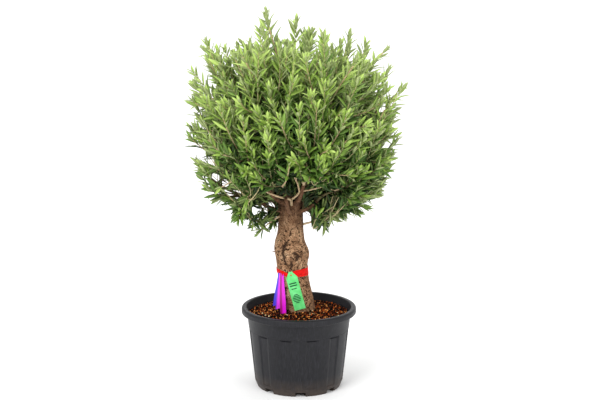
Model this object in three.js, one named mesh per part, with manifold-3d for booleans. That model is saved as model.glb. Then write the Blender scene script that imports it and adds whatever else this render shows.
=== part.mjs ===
// A standard olive tree in a round nursery pot: a short thick trunk that was topped years ago,
// a head of thin boughs, and a dense broad crown of long leafy shoots. A tape, three ribbons and
// a plain plant tag are tied round the trunk.
import * as THREE from "three";
import { mergeVertices } from "three/addons/utils/BufferGeometryUtils.js";
import Module from "manifold-3d";

const wasm = await Module();
wasm.setup();

// Sizes are in millimetres and angles in degrees. +Z is up, -Y faces the viewer and +X is the
// viewer's right. The origin is the middle of the pot's underside.
const GAP = 0.4; // clearance between pieces that rest on each other
const SMALLEST_EDGE = 0.02; // joining drops edges shorter than this
const UP = new THREE.Vector3(0, 0, 1);

const POT = {
  height: 311,
  rimRadius: 220, // outside of the rolled rim
  rimHeight: 24,
  mouthRadius: 202,
  collarBottom: 230, // the plain collar ends here and the panelled wall begins
  collarTopRadius: 199,
  collarStep: 4,
  wallBottom: 22,
  wallBottomRadius: 170,
  footRadius: 161,
  wall: 3.6,
  floor: 4,
  floorRadius: 139, // the corner above the drain notches is filled out
  cornerTop: 44,
  segments: 48,
  panels: 12,
  panelAngle: 15,
  panelDepth: 1.6,
  notches: 8, // drain notches round the foot
  notchWidth: 36,
  notchHeight: 17,
  notchInner: 153, // how near the middle they reach
  notchTurn: 2,
};
const SOIL = { level: 288, edgeDrop: 9, moundRadius: 85 };

// The trunk's centre and half width at heights above the pot's underside
const TRUNK_STATIONS = [
  { z: 288, x: 6, y: 0, r: 54 },
  { z: 320, x: 3, y: 0, r: 55 },
  { z: 350, x: -4, y: 0, r: 57 },
  { z: 381, x: -12, y: 1, r: 58 },
  { z: 412, x: -20, y: 2, r: 58.5 },
  { z: 455, x: -26, y: 4, r: 57.5 },
  { z: 505, x: -28, y: 5, r: 57 },
  { z: 536, x: -31, y: 6, r: 56 },
  { z: 567, x: -33, y: 6, r: 52.5 },
  { z: 598, x: -31, y: 5, r: 48.5 },
  { z: 640, x: -30, y: 3, r: 46 },
  { z: 670, x: -28, y: 2, r: 43.5 },
  { z: 715, x: -28, y: 0, r: 44 },
  { z: 756, x: -28, y: 0, r: 44 },
];
const TRUNK = {
  sides: 22,
  rings: 15,
  depthShare: 0.95, // front to back, as a share of its width
  flare: 5,
  flareHeight: 22,
  domeFrom: 712, // the healed head where the tree was topped
  boughRoot: 18, // the boughs spring from this far off the trunk's middle
};
// Swellings of the trunk: bearing from +X towards +Y, height, how far they stand out and spread
const TRUNK_SWELLINGS = [
  { bearing: -12, z: 521, out: 12, spreadAngle: 30, spreadZ: 24 },
  { bearing: -78, z: 519, out: 7, spreadAngle: 24, spreadZ: 22 },
  { bearing: 178, z: 536, out: 6, spreadAngle: 34, spreadZ: 30 },
  { bearing: 95, z: 470, out: 6, spreadAngle: 40, spreadZ: 45 },
];

// The crown's body is a rounded barrel: full at the shoulders, rounder below
const CROWN = {
  x: -14,
  z: 1000,
  radius: 384,
  up: 318,
  down: 372,
  shoulder: 3, // exponent of the outline above the middle
  belly: 2.4, // and below it
  clearBearing: -90, // where the underside is highest and the trunk's head shows
};
const HUB = new THREE.Vector3(-28, 0, 715); // the crown's masses part along planes through here

// Rings of boughs, from the top down. leads is how far each mass's longest shoot stands out of
// the crown's body, in order round the ring, and growths seed how each mass's twigs and leaves
// fall. reach is how far the boughs run from the hub, and clearRise how much further the boughs
// on the crown's clear side rise.
const TIERS = [
  {
    name: "leader",
    leads: [112],
    bearing: 182,
    rise: 82,
    reach: 190,
    leaveZ: 742,
    radius: 10,
    twigs: 10,
    seed: 11,
    growths: [1100],
  },
  {
    name: "top",
    leads: [66, 60, 78, 44, 58],
    bearing: 18,
    rise: 60,
    reach: 185,
    leaveZ: 735,
    radius: 10,
    twigs: 10,
    seed: 23,
    growths: [2340, 2301, 2302, 2313, 2304],
  },
  {
    name: "middle",
    leads: [6, 20, 24, 16, 18, 20],
    bearing: -12,
    rise: 31,
    reach: 165,
    leaveZ: 712,
    radius: 10.5,
    twigs: 10,
    seed: 37,
    growths: [3740, 3711, 3722, 3713, 3704, 3715],
  },
  {
    name: "low",
    leads: [4, 10, 6, 12, 8, 6],
    bearing: 20,
    rise: 2,
    clearRise: 13,
    reach: 125,
    leaveZ: 684,
    radius: 9.5,
    twigs: 10,
    seed: 53,
    growths: [5341, 5301, 5312, 5303, 5424, 5315],
  },
];
const FOLIAGE = {
  stemRadius: 5,
  twigRadius: 3.4,
  tipRadius: 1.6,
  sides: 3,
  cellGap: 5, // half the free space between two masses
  limbGap: 8,
  twigCone: 33, // how far from a mass's axis its twigs end, seen from the hub
  twigLeads: [-16, 36], // how far the twigs' ends stand out of the crown's body
  twigRoots: [0.24, 0.7], // where on the stem the outermost and the innermost twigs spring
  twigBend: 0.16,
  leafSpread: 52,
  tipLeafSpread: 22,
  leafLength: 88, // larger than life, because each stands for several
  leafWidth: 25,
  leafThickness: 2.2,
  leafWidest: 0.42, // where along the leaf it is widest
  leafThickest: 0.56, // and where its blade is thickest
  leafRoll: 90, // how far a leaf may turn about its own midrib, either way
  leafFrom: 0.7, // where on a twig its leaves begin
  leafPairs: 1,
  coreShare: 0.92, // the dense middle, as a share of the crown's body
  coreGap: 8,
  coreRough: 0.12,
};

const TAPE = { z: 452, width: 25, thickness: 1.2, off: 1.1 };
const TAG = {
  width: 43,
  topWidth: 12,
  shoulder: 23, // how far down the slanting top corners run
  length: 149,
  thickness: 0.9,
  hole: 3,
  holeDrop: 13,
  lean: 15, // its foot swings to the right
  tilt: 5, // and stands forward of its top
  x: -33,
  top: 457,
};
const RIBBON = { width: 24, thickness: 0.8, segments: 6, gather: 0.4, tucked: 6 };
// How far each ribbon hangs off the bark, how far it drifts sideways, and its lower end
const RIBBONS = [
  { name: "ribbon_blue", off: 4.2, drift: -28, bottom: 318 },
  { name: "ribbon_violet", off: 7.2, drift: -12, bottom: 307 },
  { name: "ribbon_magenta", off: 10.2, drift: 14, bottom: 293 },
];
const KNOT = { bearing: 232, width: 26, height: 22, thick: 9 };

const COLOURS = {
  pot: 0x3b3b3f,
  soil: 0x5a2f1a,
  bark: 0x8a7058,
  leaf: 0x5f8a3c,
  tape: 0xe0150f,
  ribbon_blue: 0x4a3bd8,
  ribbon_violet: 0xc030d8,
  ribbon_magenta: 0xe214d6,
  tag: 0x62ea7d,
};

const radians = THREE.MathUtils.degToRad;

// Random numbers from 0 to 1 that are the same on every run
function seeded(seed) {
  let state = seed >>> 0;
  return () => {
    state = (state + 0x6d2b79f5) >>> 0;
    let t = state;
    t = Math.imul(t ^ (t >>> 15), t | 1);
    t ^= t + Math.imul(t ^ (t >>> 7), t | 61);
    return ((t ^ (t >>> 14)) >>> 0) / 4294967296;
  };
}

// A three.js geometry as a solid for joining and cutting
function solidOf(geometry) {
  const bare = geometry.clone();
  bare.deleteAttribute("normal");
  bare.deleteAttribute("uv");
  const merged = mergeVertices(bare, 1e-4);
  const mesh = new wasm.Mesh({
    numProp: 3,
    vertProperties: merged.attributes.position.array,
    triVerts: new Uint32Array(merged.index.array),
  });
  return new wasm.Manifold(mesh);
}

// The largest closed body of a solid, without scraps or sealed hollows, as a geometry
function geometryOf(solid) {
  const bodies = solid.simplify(SMALLEST_EDGE).decompose();
  const mesh = bodies.sort((a, b) => b.volume() - a.volume())[0].getMesh();
  const geometry = new THREE.BufferGeometry();
  geometry.setAttribute("position", new THREE.BufferAttribute(mesh.vertProperties.slice(), 3));
  geometry.setIndex(new THREE.BufferAttribute(mesh.triVerts.slice(), 1));
  geometry.computeVertexNormals();
  return geometry;
}

// A solid of revolution about Z from a profile of [radius, height] pairs
function turned(profile, segments) {
  const points = profile.map(([r, z]) => new THREE.Vector2(r, z));
  return new THREE.LatheGeometry(points, segments).rotateX(Math.PI / 2);
}

// Moves each vertex of a geometry to where place says it goes
function reshape(geometry, place) {
  const position = geometry.attributes.position;
  const v = new THREE.Vector3();
  for (let i = 0; i < position.count; i++) {
    v.fromBufferAttribute(position, i);
    const moved = place(v);
    position.setXYZ(i, moved.x, moved.y, moved.z);
  }
  return geometry;
}

function wallRadius(z) {
  const top = POT.collarTopRadius - 6 - POT.collarStep;
  const share = (z - POT.wallBottom) / (POT.collarBottom - POT.wallBottom);
  return THREE.MathUtils.lerp(POT.wallBottomRadius, top, share);
}

// The inside of the pot's wall from the collar down to the floor, moved inwards by a clearance
function insideProfile(clearance) {
  const wall = POT.wall + clearance;
  return [
    [wallRadius(POT.collarBottom) - wall, POT.collarBottom - 4],
    [wallRadius(POT.cornerTop) - wall, POT.cornerTop],
    [POT.floorRadius - clearance, POT.floor + clearance],
    [0, POT.floor + clearance],
  ];
}

// The pot is one injection-moulded shell with a rolled rim, a plain collar and panels below it
function makePot() {
  const { height, rimRadius: rim, wall, collarBottom } = POT;
  const lipBottom = height - POT.rimHeight;
  const shell = turned(
    [
      [0, 0],
      [POT.footRadius, 0],
      [POT.footRadius + 6, 6],
      [POT.wallBottomRadius, POT.wallBottom],
      [wallRadius(collarBottom - 2), collarBottom - 2],
      [wallRadius(collarBottom) + POT.collarStep, collarBottom + 1],
      [POT.collarTopRadius, lipBottom + 1],
      [rim - 3, lipBottom],
      [rim, lipBottom + 5],
      [rim, height - 8],
      [rim - 7, height],
      [POT.mouthRadius + 2, height],
      [POT.mouthRadius - 1, height - 6],
      [POT.collarTopRadius - wall, lipBottom],
      ...insideProfile(0),
    ],
    POT.segments,
  );

  const [low, high] = [POT.wallBottom + 8, collarBottom - 12];
  const skin = turned(
    [
      [wallRadius(low) - POT.panelDepth, low],
      [wallRadius(low) + 5, low],
      [wallRadius(high) + 5, high],
      [wallRadius(high) - POT.panelDepth, high],
      [wallRadius(low) - POT.panelDepth, low],
    ],
    POT.segments,
  );
  const half = radians(POT.panelAngle / 2);
  const wedges = Array.from({ length: POT.panels }, (_, i) => {
    const middle = radians(-75 + (i * 360) / POT.panels);
    const corners = [middle - half, middle + half].map(
      (a) => new THREE.Vector2(rim * 1.2 * Math.cos(a), rim * 1.2 * Math.sin(a)),
    );
    const sector = new THREE.Shape([new THREE.Vector2(0, 0), ...corners]);
    return solidOf(new THREE.ExtrudeGeometry(sector, { depth: height, bevelEnabled: false }));
  });
  const notches = Array.from({ length: POT.notches }, (_, i) => {
    const notch = new THREE.BoxGeometry(60, POT.notchWidth, POT.notchHeight * 2);
    notch.translate(POT.notchInner + 30, 0, 0);
    return solidOf(notch.rotateZ(radians(-90 + POT.notchTurn + (i * 360) / POT.notches)));
  });
  const panels = solidOf(skin).intersect(wasm.Manifold.union(wedges));
  return geometryOf(solidOf(shell).subtract(panels).subtract(wasm.Manifold.union(notches)));
}

// The soil fills the pot to a low mound round the trunk
function makeSoil() {
  const edge = SOIL.level - SOIL.edgeDrop;
  const inside = insideProfile(GAP);
  return turned(
    [
      ...inside.reverse(),
      [inside.at(-1)[0] + 3, edge],
      [SOIL.moundRadius, SOIL.level],
      [0, SOIL.level],
    ],
    POT.segments,
  );
}

const group = new THREE.Group();

function addPiece(name, geometry, colour, roughness = 0.8) {
  const material = new THREE.MeshStandardMaterial({ color: colour, roughness, metalness: 0 });
  const mesh = new THREE.Mesh(geometry, material);
  mesh.name = name;
  group.add(mesh);
  return mesh;
}

addPiece("pot", makePot(), COLOURS.pot, 0.6);
addPiece("soil", geometryOf(solidOf(makeSoil())), COLOURS.soil, 1);

// Trunk

function trunkAt(z) {
  const next = TRUNK_STATIONS.findIndex((s) => s.z >= z);
  const i = next < 0 ? TRUNK_STATIONS.length - 1 : Math.max(1, next);
  const [a, b] = [TRUNK_STATIONS[i - 1], TRUNK_STATIONS[i]];
  const share = THREE.MathUtils.clamp((z - a.z) / (b.z - a.z), 0, 1);
  const mix = (key) => THREE.MathUtils.lerp(a[key], b[key], share);
  return { x: mix("x"), y: mix("y"), r: mix("r") };
}

// How far the bark is from the trunk's own centre at a height and bearing
function trunkRadius(z, bearing) {
  const { r } = trunkAt(z);
  const flare = TRUNK.flare * Math.exp((SOIL.level - z) / TRUNK.flareHeight);
  let out = r * (1 + 0.02 * Math.cos(2 * bearing + z / 90) + 0.016 * Math.cos(3 * bearing - z / 70));
  out += flare * (1 + 0.5 * Math.cos(4 * bearing + 0.6));
  for (const s of TRUNK_SWELLINGS) {
    const turn = Math.atan2(Math.sin(bearing - radians(s.bearing)), Math.cos(bearing - radians(s.bearing)));
    const a = turn / radians(s.spreadAngle);
    const b = (z - s.z) / s.spreadZ;
    out += s.out * Math.exp(-(a * a + b * b) / 2);
  }
  if (z > TRUNK.domeFrom) {
    const share = (z - TRUNK.domeFrom) / (TRUNK_STATIONS.at(-1).z - TRUNK.domeFrom);
    out *= Math.sqrt(Math.max(0.12, 1 - share * share * 0.88));
  }
  return out;
}

function barkPoint(z, bearing, off = 0) {
  const c = trunkAt(z);
  const r = trunkRadius(z, bearing) + off;
  return new THREE.Vector3(
    c.x + r * Math.cos(bearing),
    c.y + r * Math.sin(bearing) * TRUNK.depthShare,
    z,
  );
}

// A closed barrel that follows the bark between two heights, moved out by a distance
function barkBarrel(low, high, rings, off) {
  const barrel = new THREE.CylinderGeometry(1, 1, 1, TRUNK.sides, rings).rotateX(Math.PI / 2);
  return reshape(barrel, (v) => {
    const z = THREE.MathUtils.lerp(low, high, v.z + 0.5);
    const middle = new THREE.Vector3(trunkAt(z).x, trunkAt(z).y, z);
    return middle.lerp(barkPoint(z, Math.atan2(v.y, v.x), off), Math.hypot(v.x, v.y));
  });
}

// The trunk runs from a flat cut on the soil to its healed head
const trunkFoot = SOIL.level + GAP;
const trunkTop = TRUNK_STATIONS.at(-1).z;
addPiece("trunk", barkBarrel(trunkFoot, trunkTop, TRUNK.rings, 0), COLOURS.bark, 0.95);
const trunkCutter = solidOf(barkBarrel(trunkFoot - GAP, trunkTop + GAP, TRUNK.rings, GAP));

// Tape, ribbons and tag tied round the trunk

// A closed drum round the trunk as high as the tape is wide, or a little more
function tapeDrum(off, overrun) {
  const half = (TAPE.width + overrun) / 2;
  return solidOf(barkBarrel(TAPE.z - half, TAPE.z + half, 1, off));
}

function makeTape() {
  return geometryOf(tapeDrum(TAPE.off + TAPE.thickness, 0).subtract(tapeDrum(TAPE.off, 2)));
}

// The tape is knotted at the front left: a lump that lies on the band
function knotSolid(margin) {
  const bearing = radians(KNOT.bearing);
  const centre = barkPoint(TAPE.z, bearing, TAPE.off + TAPE.thickness + KNOT.thick / 2 - 1);
  const lump = new THREE.IcosahedronGeometry(1, 1);
  lump.scale(KNOT.thick / 2 + margin, KNOT.width / 2 + margin, KNOT.height / 2 + margin);
  return solidOf(lump.rotateZ(bearing).translate(centre.x, centre.y, centre.z));
}

function makeKnot() {
  return geometryOf(knotSolid(0).subtract(tapeDrum(TAPE.off + TAPE.thickness + GAP, 2)));
}

// A thin strip that hangs out of the knot, where it is gathered, to its lower end
function makeRibbon({ off, drift, bottom }) {
  const top = barkPoint(TAPE.z - RIBBON.tucked, radians(KNOT.bearing), off);
  const out = bearingVector(KNOT.bearing, 0);
  const across = new THREE.Vector3().crossVectors(UP, out);
  const strip = new THREE.BoxGeometry(RIBBON.width, RIBBON.thickness, 1, 1, 1, RIBBON.segments);
  reshape(strip, (v) => {
    const t = 0.5 - v.z;
    const gather = THREE.MathUtils.lerp(RIBBON.gather, 1, Math.min(1, t * 3));
    const p = top.clone().addScaledVector(across, drift * t ** 1.3 + v.x * gather);
    p.addScaledVector(out, -v.y);
    p.z = THREE.MathUtils.lerp(top.z, bottom, t);
    return p;
  });
  return geometryOf(solidOf(strip).subtract(knotSolid(GAP)));
}

function makeTag() {
  const half = TAG.width / 2;
  const outline = new THREE.Shape([
    new THREE.Vector2(-half, -TAG.length),
    new THREE.Vector2(half, -TAG.length),
    new THREE.Vector2(half, -TAG.shoulder),
    new THREE.Vector2(TAG.topWidth / 2, 0),
    new THREE.Vector2(-TAG.topWidth / 2, 0),
    new THREE.Vector2(-half, -TAG.shoulder),
  ]);
  outline.holes.push(new THREE.Path().absarc(0, -TAG.holeDrop, TAG.hole, 0, Math.PI * 2, true));
  const plate = new THREE.ExtrudeGeometry(outline, {
    depth: TAG.thickness,
    bevelEnabled: false,
    curveSegments: 6,
  });
  return plate.rotateX(Math.PI / 2).rotateY(radians(-TAG.lean)).rotateX(radians(-TAG.tilt));
}

addPiece("tape_band", makeTape(), COLOURS.tape, 0.45);
addPiece("tape_knot", makeKnot(), COLOURS.tape, 0.45);
for (const ribbon of RIBBONS) {
  addPiece(ribbon.name, makeRibbon(ribbon), COLOURS[ribbon.name], 0.4);
}
const tag = addPiece("plant_tag", makeTag(), COLOURS.tag, 0.6);
const tagFront = barkPoint(TAPE.z, radians(-90), TAPE.off + TAPE.thickness + GAP).y;
tag.position.set(TAG.x, tagFront - 0.15, TAG.top);

// Limbs

// A tapering limb with flat ends: a capped cylinder bent along a curve
function limbGeometry(curve, startRadius, endRadius, sides, segments) {
  const rod = new THREE.CylinderGeometry(1, 1, 1, sides, segments).rotateX(Math.PI / 2);
  const upright = Math.abs(curve.getTangent(0).z) > 0.8;
  let across = upright ? new THREE.Vector3(1, 0, 0) : UP.clone();
  const frames = Array.from({ length: segments + 1 }, (_, i) => {
    const along = curve.getTangent(i / segments);
    across = across.clone().addScaledVector(along, -across.dot(along)).normalize();
    return { across, third: new THREE.Vector3().crossVectors(along, across) };
  });
  return reshape(rod, (v) => {
    const t = v.z + 0.5;
    const { across, third } = frames[Math.round(t * segments)];
    const radius = THREE.MathUtils.lerp(startRadius, endRadius, t);
    return curve
      .getPoint(t)
      .addScaledVector(across, v.x * radius)
      .addScaledVector(third, v.y * radius);
  });
}

function bearingVector(bearing, rise) {
  const [a, e] = [radians(bearing), radians(rise)];
  return new THREE.Vector3(Math.cos(a) * Math.cos(e), Math.sin(a) * Math.cos(e), Math.sin(e));
}

// 1 on the outline of the crown's body, less inside it and more outside
function outlineShare(p) {
  const upper = p.z > CROWN.z;
  const power = upper ? CROWN.shoulder : CROWN.belly;
  const across = Math.hypot(p.x - CROWN.x, p.y) / CROWN.radius;
  const along = Math.abs(p.z - CROWN.z) / (upper ? CROWN.up : CROWN.down);
  return (across ** power + along ** power) ** (1 / power);
}

// How far a straight line from a point runs until it leaves the crown's body
function distanceOut(from, direction) {
  let [near, far] = [0, 1200];
  for (let i = 0; i < 24; i++) {
    const middle = (near + far) / 2;
    const p = from.clone().addScaledVector(direction, middle);
    if (outlineShare(p) < 1) near = middle;
    else far = middle;
  }
  return near;
}

// Each mass has its axis from the hub, the bough that carries it and where its stem starts
function layOutMasses() {
  const masses = [];
  for (const tier of TIERS) {
    const random = seeded(tier.seed);
    const count = tier.leads.length;
    tier.leads.forEach((lead, i) => {
      const bearing = tier.bearing + (i * 360) / count + (random() - 0.5) * 12;
      const facing = Math.max(0, Math.cos(radians(bearing - CROWN.clearBearing)));
      const rise = tier.rise + (tier.clearRise ?? 0) * facing ** 2 + (random() - 0.5) * 6;
      const name = count > 1 ? `${tier.name}_${i + 1}` : tier.name;
      const axis = bearingVector(bearing, rise);
      const target = HUB.clone().addScaledVector(axis, distanceOut(HUB, axis) + lead);
      const mass = { name, tier, bearing, axis, target, seed: tier.growths[i] };
      masses.push(Object.assign(mass, boughOf(mass)));
    });
  }
  return masses;
}

function boughOf({ tier, axis, bearing }) {
  const leave = trunkAt(tier.leaveZ);
  const start = new THREE.Vector3(leave.x, leave.y, tier.leaveZ);
  if (tier.rise < 80) start.addScaledVector(bearingVector(bearing, 0), TRUNK.boughRoot);
  const end = HUB.clone().addScaledVector(axis, tier.reach);
  const flat = bearingVector(bearing, Math.max(0, tier.rise - 22));
  const bend = start.clone().addScaledVector(flat, start.distanceTo(end) / 2);
  const curve = new THREE.QuadraticBezierCurve3(start, bend, end);
  const heading = curve.getTangent(1);
  const stemStart = end.clone().addScaledVector(heading, GAP);
  return { bough: curve, boughRadii: [tier.radius, tier.radius * 0.62], heading, stemStart };
}

const masses = layOutMasses();
for (const { name, bough, boughRadii } of masses) {
  const limb = solidOf(limbGeometry(bough, ...boughRadii, 6, 3)).subtract(trunkCutter);
  addPiece(`bough_${name}`, geometryOf(limb), COLOURS.bark, 0.95);
}

// Foliage masses

// True where a point lies in a mass's own share of the crown, clear of its edge by a margin
function inCell(mass, p, margin) {
  const from = p.clone().sub(HUB);
  return masses.every((other) => {
    const away = mass.axis.clone().sub(other.axis);
    return other === mass || from.dot(away) > margin * away.length();
  });
}

// True where a point keeps clear of the trunk and of every bough
function clearOfLimbs(p) {
  const c = trunkAt(p.z);
  const fromAxis = Math.hypot(p.x - c.x, p.y - c.y);
  const bearing = Math.atan2(p.y - c.y, p.x - c.x);
  const free = FOLIAGE.limbGap;
  const z = Math.min(p.z, trunkTop);
  if (p.z < trunkTop + free && fromAxis < trunkRadius(z, bearing) + free) return false;
  return masses.every(({ bough, boughRadii }) =>
    [0, 0.2, 0.4, 0.6, 0.8, 1].every((t) => p.distanceTo(bough.getPoint(t)) > boughRadii[0] + free),
  );
}

function fits(mass, p) {
  return inCell(mass, p, FOLIAGE.cellGap) && clearOfLimbs(p);
}

// A direction that leans away from another by an angle, turned round it by a second angle
function leaning(heading, spread, turn) {
  const across = new THREE.Vector3().crossVectors(heading, UP);
  if (across.length() < 0.05) across.set(1, 0, 0);
  across.normalize();
  const third = across.clone().cross(heading);
  const side = across.multiplyScalar(Math.cos(turn)).addScaledVector(third, Math.sin(turn));
  return heading.clone().multiplyScalar(Math.cos(spread)).addScaledVector(side, Math.sin(spread));
}

// A shoot from a root to an end, which sets out low and then turns up to the light
function shoot(root, end, bend) {
  const way = end.clone().sub(root);
  const low = new THREE.Vector3(way.x, way.y, 0).multiplyScalar(bend);
  low.z = -bend * Math.hypot(way.x, way.y);
  const middle = root.clone().lerp(end, 0.5).add(low);
  return new THREE.QuadraticBezierCurve3(root, middle, end);
}

// A mass's stem runs on from the tip of its bough
function stemOf(mass) {
  const { stemStart, heading, target } = mass;
  const reach = stemStart.distanceTo(target);
  const end = target.clone().lerp(stemStart, (0.6 * FOLIAGE.leafLength) / reach);
  const bend = stemStart.clone().addScaledVector(heading, reach * 0.4);
  return new THREE.QuadraticBezierCurve3(stemStart, bend, end);
}

// Twigs spread from the stem to ends that lie evenly over the mass's outer side
function twigsOf(mass, stem, random) {
  const twigs = [];
  const golden = Math.PI * (3 - Math.sqrt(5));
  const [least, most] = FOLIAGE.twigLeads;
  const [firstRoot, lastRoot] = FOLIAGE.twigRoots;
  for (let k = 0; k < mass.tier.twigs; k++) {
    let share = Math.sqrt((k + 1) / mass.tier.twigs);
    const turn = k * golden + random() * 0.6;
    const lead = THREE.MathUtils.lerp(least, most, random());
    for (let attempt = 0; attempt < 6; attempt++) {
      const way = leaning(mass.axis, radians(FOLIAGE.twigCone) * share, turn);
      const end = HUB.clone().addScaledVector(way, distanceOut(HUB, way) + lead - FOLIAGE.leafLength / 2);
      const leafEnd = end.clone().addScaledVector(way, FOLIAGE.leafLength * 0.6);
      const root = stem.getPoint(THREE.MathUtils.lerp(lastRoot, firstRoot, share));
      const twig = shoot(root, end, FOLIAGE.twigBend);
      if (fits(mass, leafEnd) && fits(mass, end) && clearOfLimbs(twig.getPoint(0.5))) {
        twigs.push(twig);
        break;
      }
      share *= 0.84;
    }
  }
  return twigs;
}

// A leaf blade of eight faces: a long octahedron, widest before its middle
function leafSolid(root, heading, length, roll) {
  const face = root.clone().sub(HUB).normalize().addScaledVector(UP, 0.8);
  const across = new THREE.Vector3().crossVectors(heading, face).normalize();
  across.applyAxisAngle(heading, roll);
  const normal = across.clone().cross(heading);
  const blade = new THREE.OctahedronGeometry(1, 0);
  return solidOf(
    reshape(blade, (v) => {
      const middle = Math.abs(v.y) > 0.5 ? FOLIAGE.leafThickest : FOLIAGE.leafWidest;
      const along = Math.abs(v.z) > 0.5 ? (v.z + 1) / 2 : middle;
      return root
        .clone()
        .addScaledVector(heading, along * length)
        .addScaledVector(across, (v.x * FOLIAGE.leafWidth) / 2)
        .addScaledVector(normal, (v.y * FOLIAGE.leafThickness) / 2);
    }),
  );
}

// Leaves in crossed pairs along the outer part of a shoot, and a pair at its tip
function leavesOf(mass, curve, random) {
  const leaves = [];
  const { leafFrom, leafPairs, leafSpread, tipLeafSpread, leafLength } = FOLIAGE;
  for (let k = 0; k <= leafPairs; k++) {
    const share = THREE.MathUtils.lerp(leafFrom, 0.98, k / leafPairs);
    const root = curve.getPoint(share);
    const along = curve.getTangent(share);
    const turn = (k * Math.PI) / 2 + random() * 0.8;
    for (const side of [0, Math.PI]) {
      const spread = radians(k < leafPairs ? leafSpread + 14 * random() : tipLeafSpread);
      const length = leafLength * (0.85 + 0.3 * random());
      const way = leaning(along, spread, turn + side);
      const end = root.clone().addScaledVector(way, length);
      const roll = radians(FOLIAGE.leafRoll) * (2 * random() - 1);
      const middle = root.clone().lerp(end, 0.4);
      if (fits(mass, end) && clearOfLimbs(middle)) leaves.push(leafSolid(root, way, length, roll));
    }
  }
  return leaves;
}

// The dense middle of a mass, where its leaves stand too close to see between: a rough lump
// that fills the mass's own space to below the crown's outline
function coreSolid(mass, random) {
  const lump = new THREE.IcosahedronGeometry(1, 2);
  const centre = HUB.clone().addScaledVector(mass.axis, distanceOut(HUB, mass.axis) * 0.56);
  const beyondBough = (p) => p.clone().sub(mass.stemStart).dot(mass.heading) > FOLIAGE.coreGap;
  const inside = (p) =>
    inCell(mass, p, FOLIAGE.coreGap) && beyondBough(p) && outlineShare(p) < FOLIAGE.coreShare;
  const reached = new Map();
  return solidOf(
    reshape(lump, (v) => {
      const key = [v.x, v.y, v.z].map((n) => n.toFixed(4)).join();
      if (!reached.has(key)) {
        let far = 0;
        const step = 4;
        while (inside(centre.clone().addScaledVector(v, far + step)) && far < 400) far += step;
        reached.set(key, far * (1 - FOLIAGE.coreRough * random()));
      }
      return centre.clone().addScaledVector(v, reached.get(key));
    }),
  );
}

function growMass(mass) {
  const random = seeded(mass.seed);
  const stem = stemOf(mass);
  const { stemRadius, twigRadius, tipRadius, sides } = FOLIAGE;
  const solids = [solidOf(limbGeometry(stem, stemRadius, tipRadius, sides, 4))];
  solids.push(...leavesOf(mass, stem, random));
  for (const twig of twigsOf(mass, stem, random)) {
    solids.push(solidOf(limbGeometry(twig, twigRadius, tipRadius, sides, 2)));
    solids.push(...leavesOf(mass, twig, random));
  }
  solids.push(coreSolid(mass, random));
  const clear = solids.filter((solid) => solid.intersect(trunkCutter).volume() === 0);
  return geometryOf(wasm.Manifold.union(clear));
}

for (const mass of masses) {
  addPiece(`foliage_${mass.name}`, growMass(mass), COLOURS.leaf, 0.6);
}

export default group;
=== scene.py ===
import math

import bmesh
import bpy
import numpy as np
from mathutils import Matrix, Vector, noise


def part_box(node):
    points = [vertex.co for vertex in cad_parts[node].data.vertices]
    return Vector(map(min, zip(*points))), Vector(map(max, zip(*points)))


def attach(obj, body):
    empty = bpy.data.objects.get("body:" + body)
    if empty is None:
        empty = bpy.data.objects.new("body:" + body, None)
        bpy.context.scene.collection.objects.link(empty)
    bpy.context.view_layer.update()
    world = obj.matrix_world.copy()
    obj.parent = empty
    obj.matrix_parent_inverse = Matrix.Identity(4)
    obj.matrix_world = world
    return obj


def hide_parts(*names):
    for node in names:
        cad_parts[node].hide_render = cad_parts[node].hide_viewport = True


# A standard olive tree in a round nursery pot. Sizes are in millimetres, in the CAD model's own
# frame: +Z up, the viewer on the -Y side, the origin in the middle of the pot's underside.
MM = 0.001
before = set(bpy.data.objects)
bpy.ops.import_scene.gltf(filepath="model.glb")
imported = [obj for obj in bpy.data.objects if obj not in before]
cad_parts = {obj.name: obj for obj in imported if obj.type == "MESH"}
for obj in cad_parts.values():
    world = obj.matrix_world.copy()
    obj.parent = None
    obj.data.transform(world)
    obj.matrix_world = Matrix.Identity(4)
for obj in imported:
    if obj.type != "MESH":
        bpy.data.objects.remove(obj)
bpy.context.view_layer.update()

# The pot
# A 35 litre nursery pot, injection moulded in one shot from black polypropylene: a rolled rim, a
# plain collar, twelve sunk panels on the wall and eight drain notches cut into the foot.
POT_HEIGHT = 311
POT_RIM_RADIUS = 220
POT_MOUTH_RADIUS = 202
POT_COLLAR_TOP_RADIUS = 199
POT_COLLAR_BOTTOM = 230
POT_COLLAR_TAPER = 6
POT_COLLAR_STEP = 0.8
POT_WALL_BOTTOM = 22
POT_WALL_BOTTOM_RADIUS = 170
POT_FOOT_RADIUS = 161
POT_WALL = 3.6
PANELS = 12
PANEL_ANGLE = 15
PANEL_FIRST = -75
PANEL_DEPTH = 4.6  # at the top of a panel; at its foot it is half as deep
PANEL_LOW = 30
PANEL_HIGH = 226
PANEL_GROOVE = 3.2  # how much deeper a panel is just under its top edge
NOTCHES = 8
NOTCH_FIRST = -88
NOTCH_WIDTH = 36
NOTCH_HEIGHT = 17
NOTCH_INNER = 128
POT_LIP_DEPTH = 24
POT_STEPS = 480  # the turned mesh has a column of vertices every 0.75 degrees


def colour(hex_value):
    """An sRGB hex value as linear red, green, blue and alpha."""
    channels = [int(hex_value[i:i + 2], 16) / 255 for i in (1, 3, 5)]
    return (*[c / 12.92 if c <= 0.04045 else ((c + 0.055) / 1.055) ** 2.4 for c in channels], 1.0)


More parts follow.
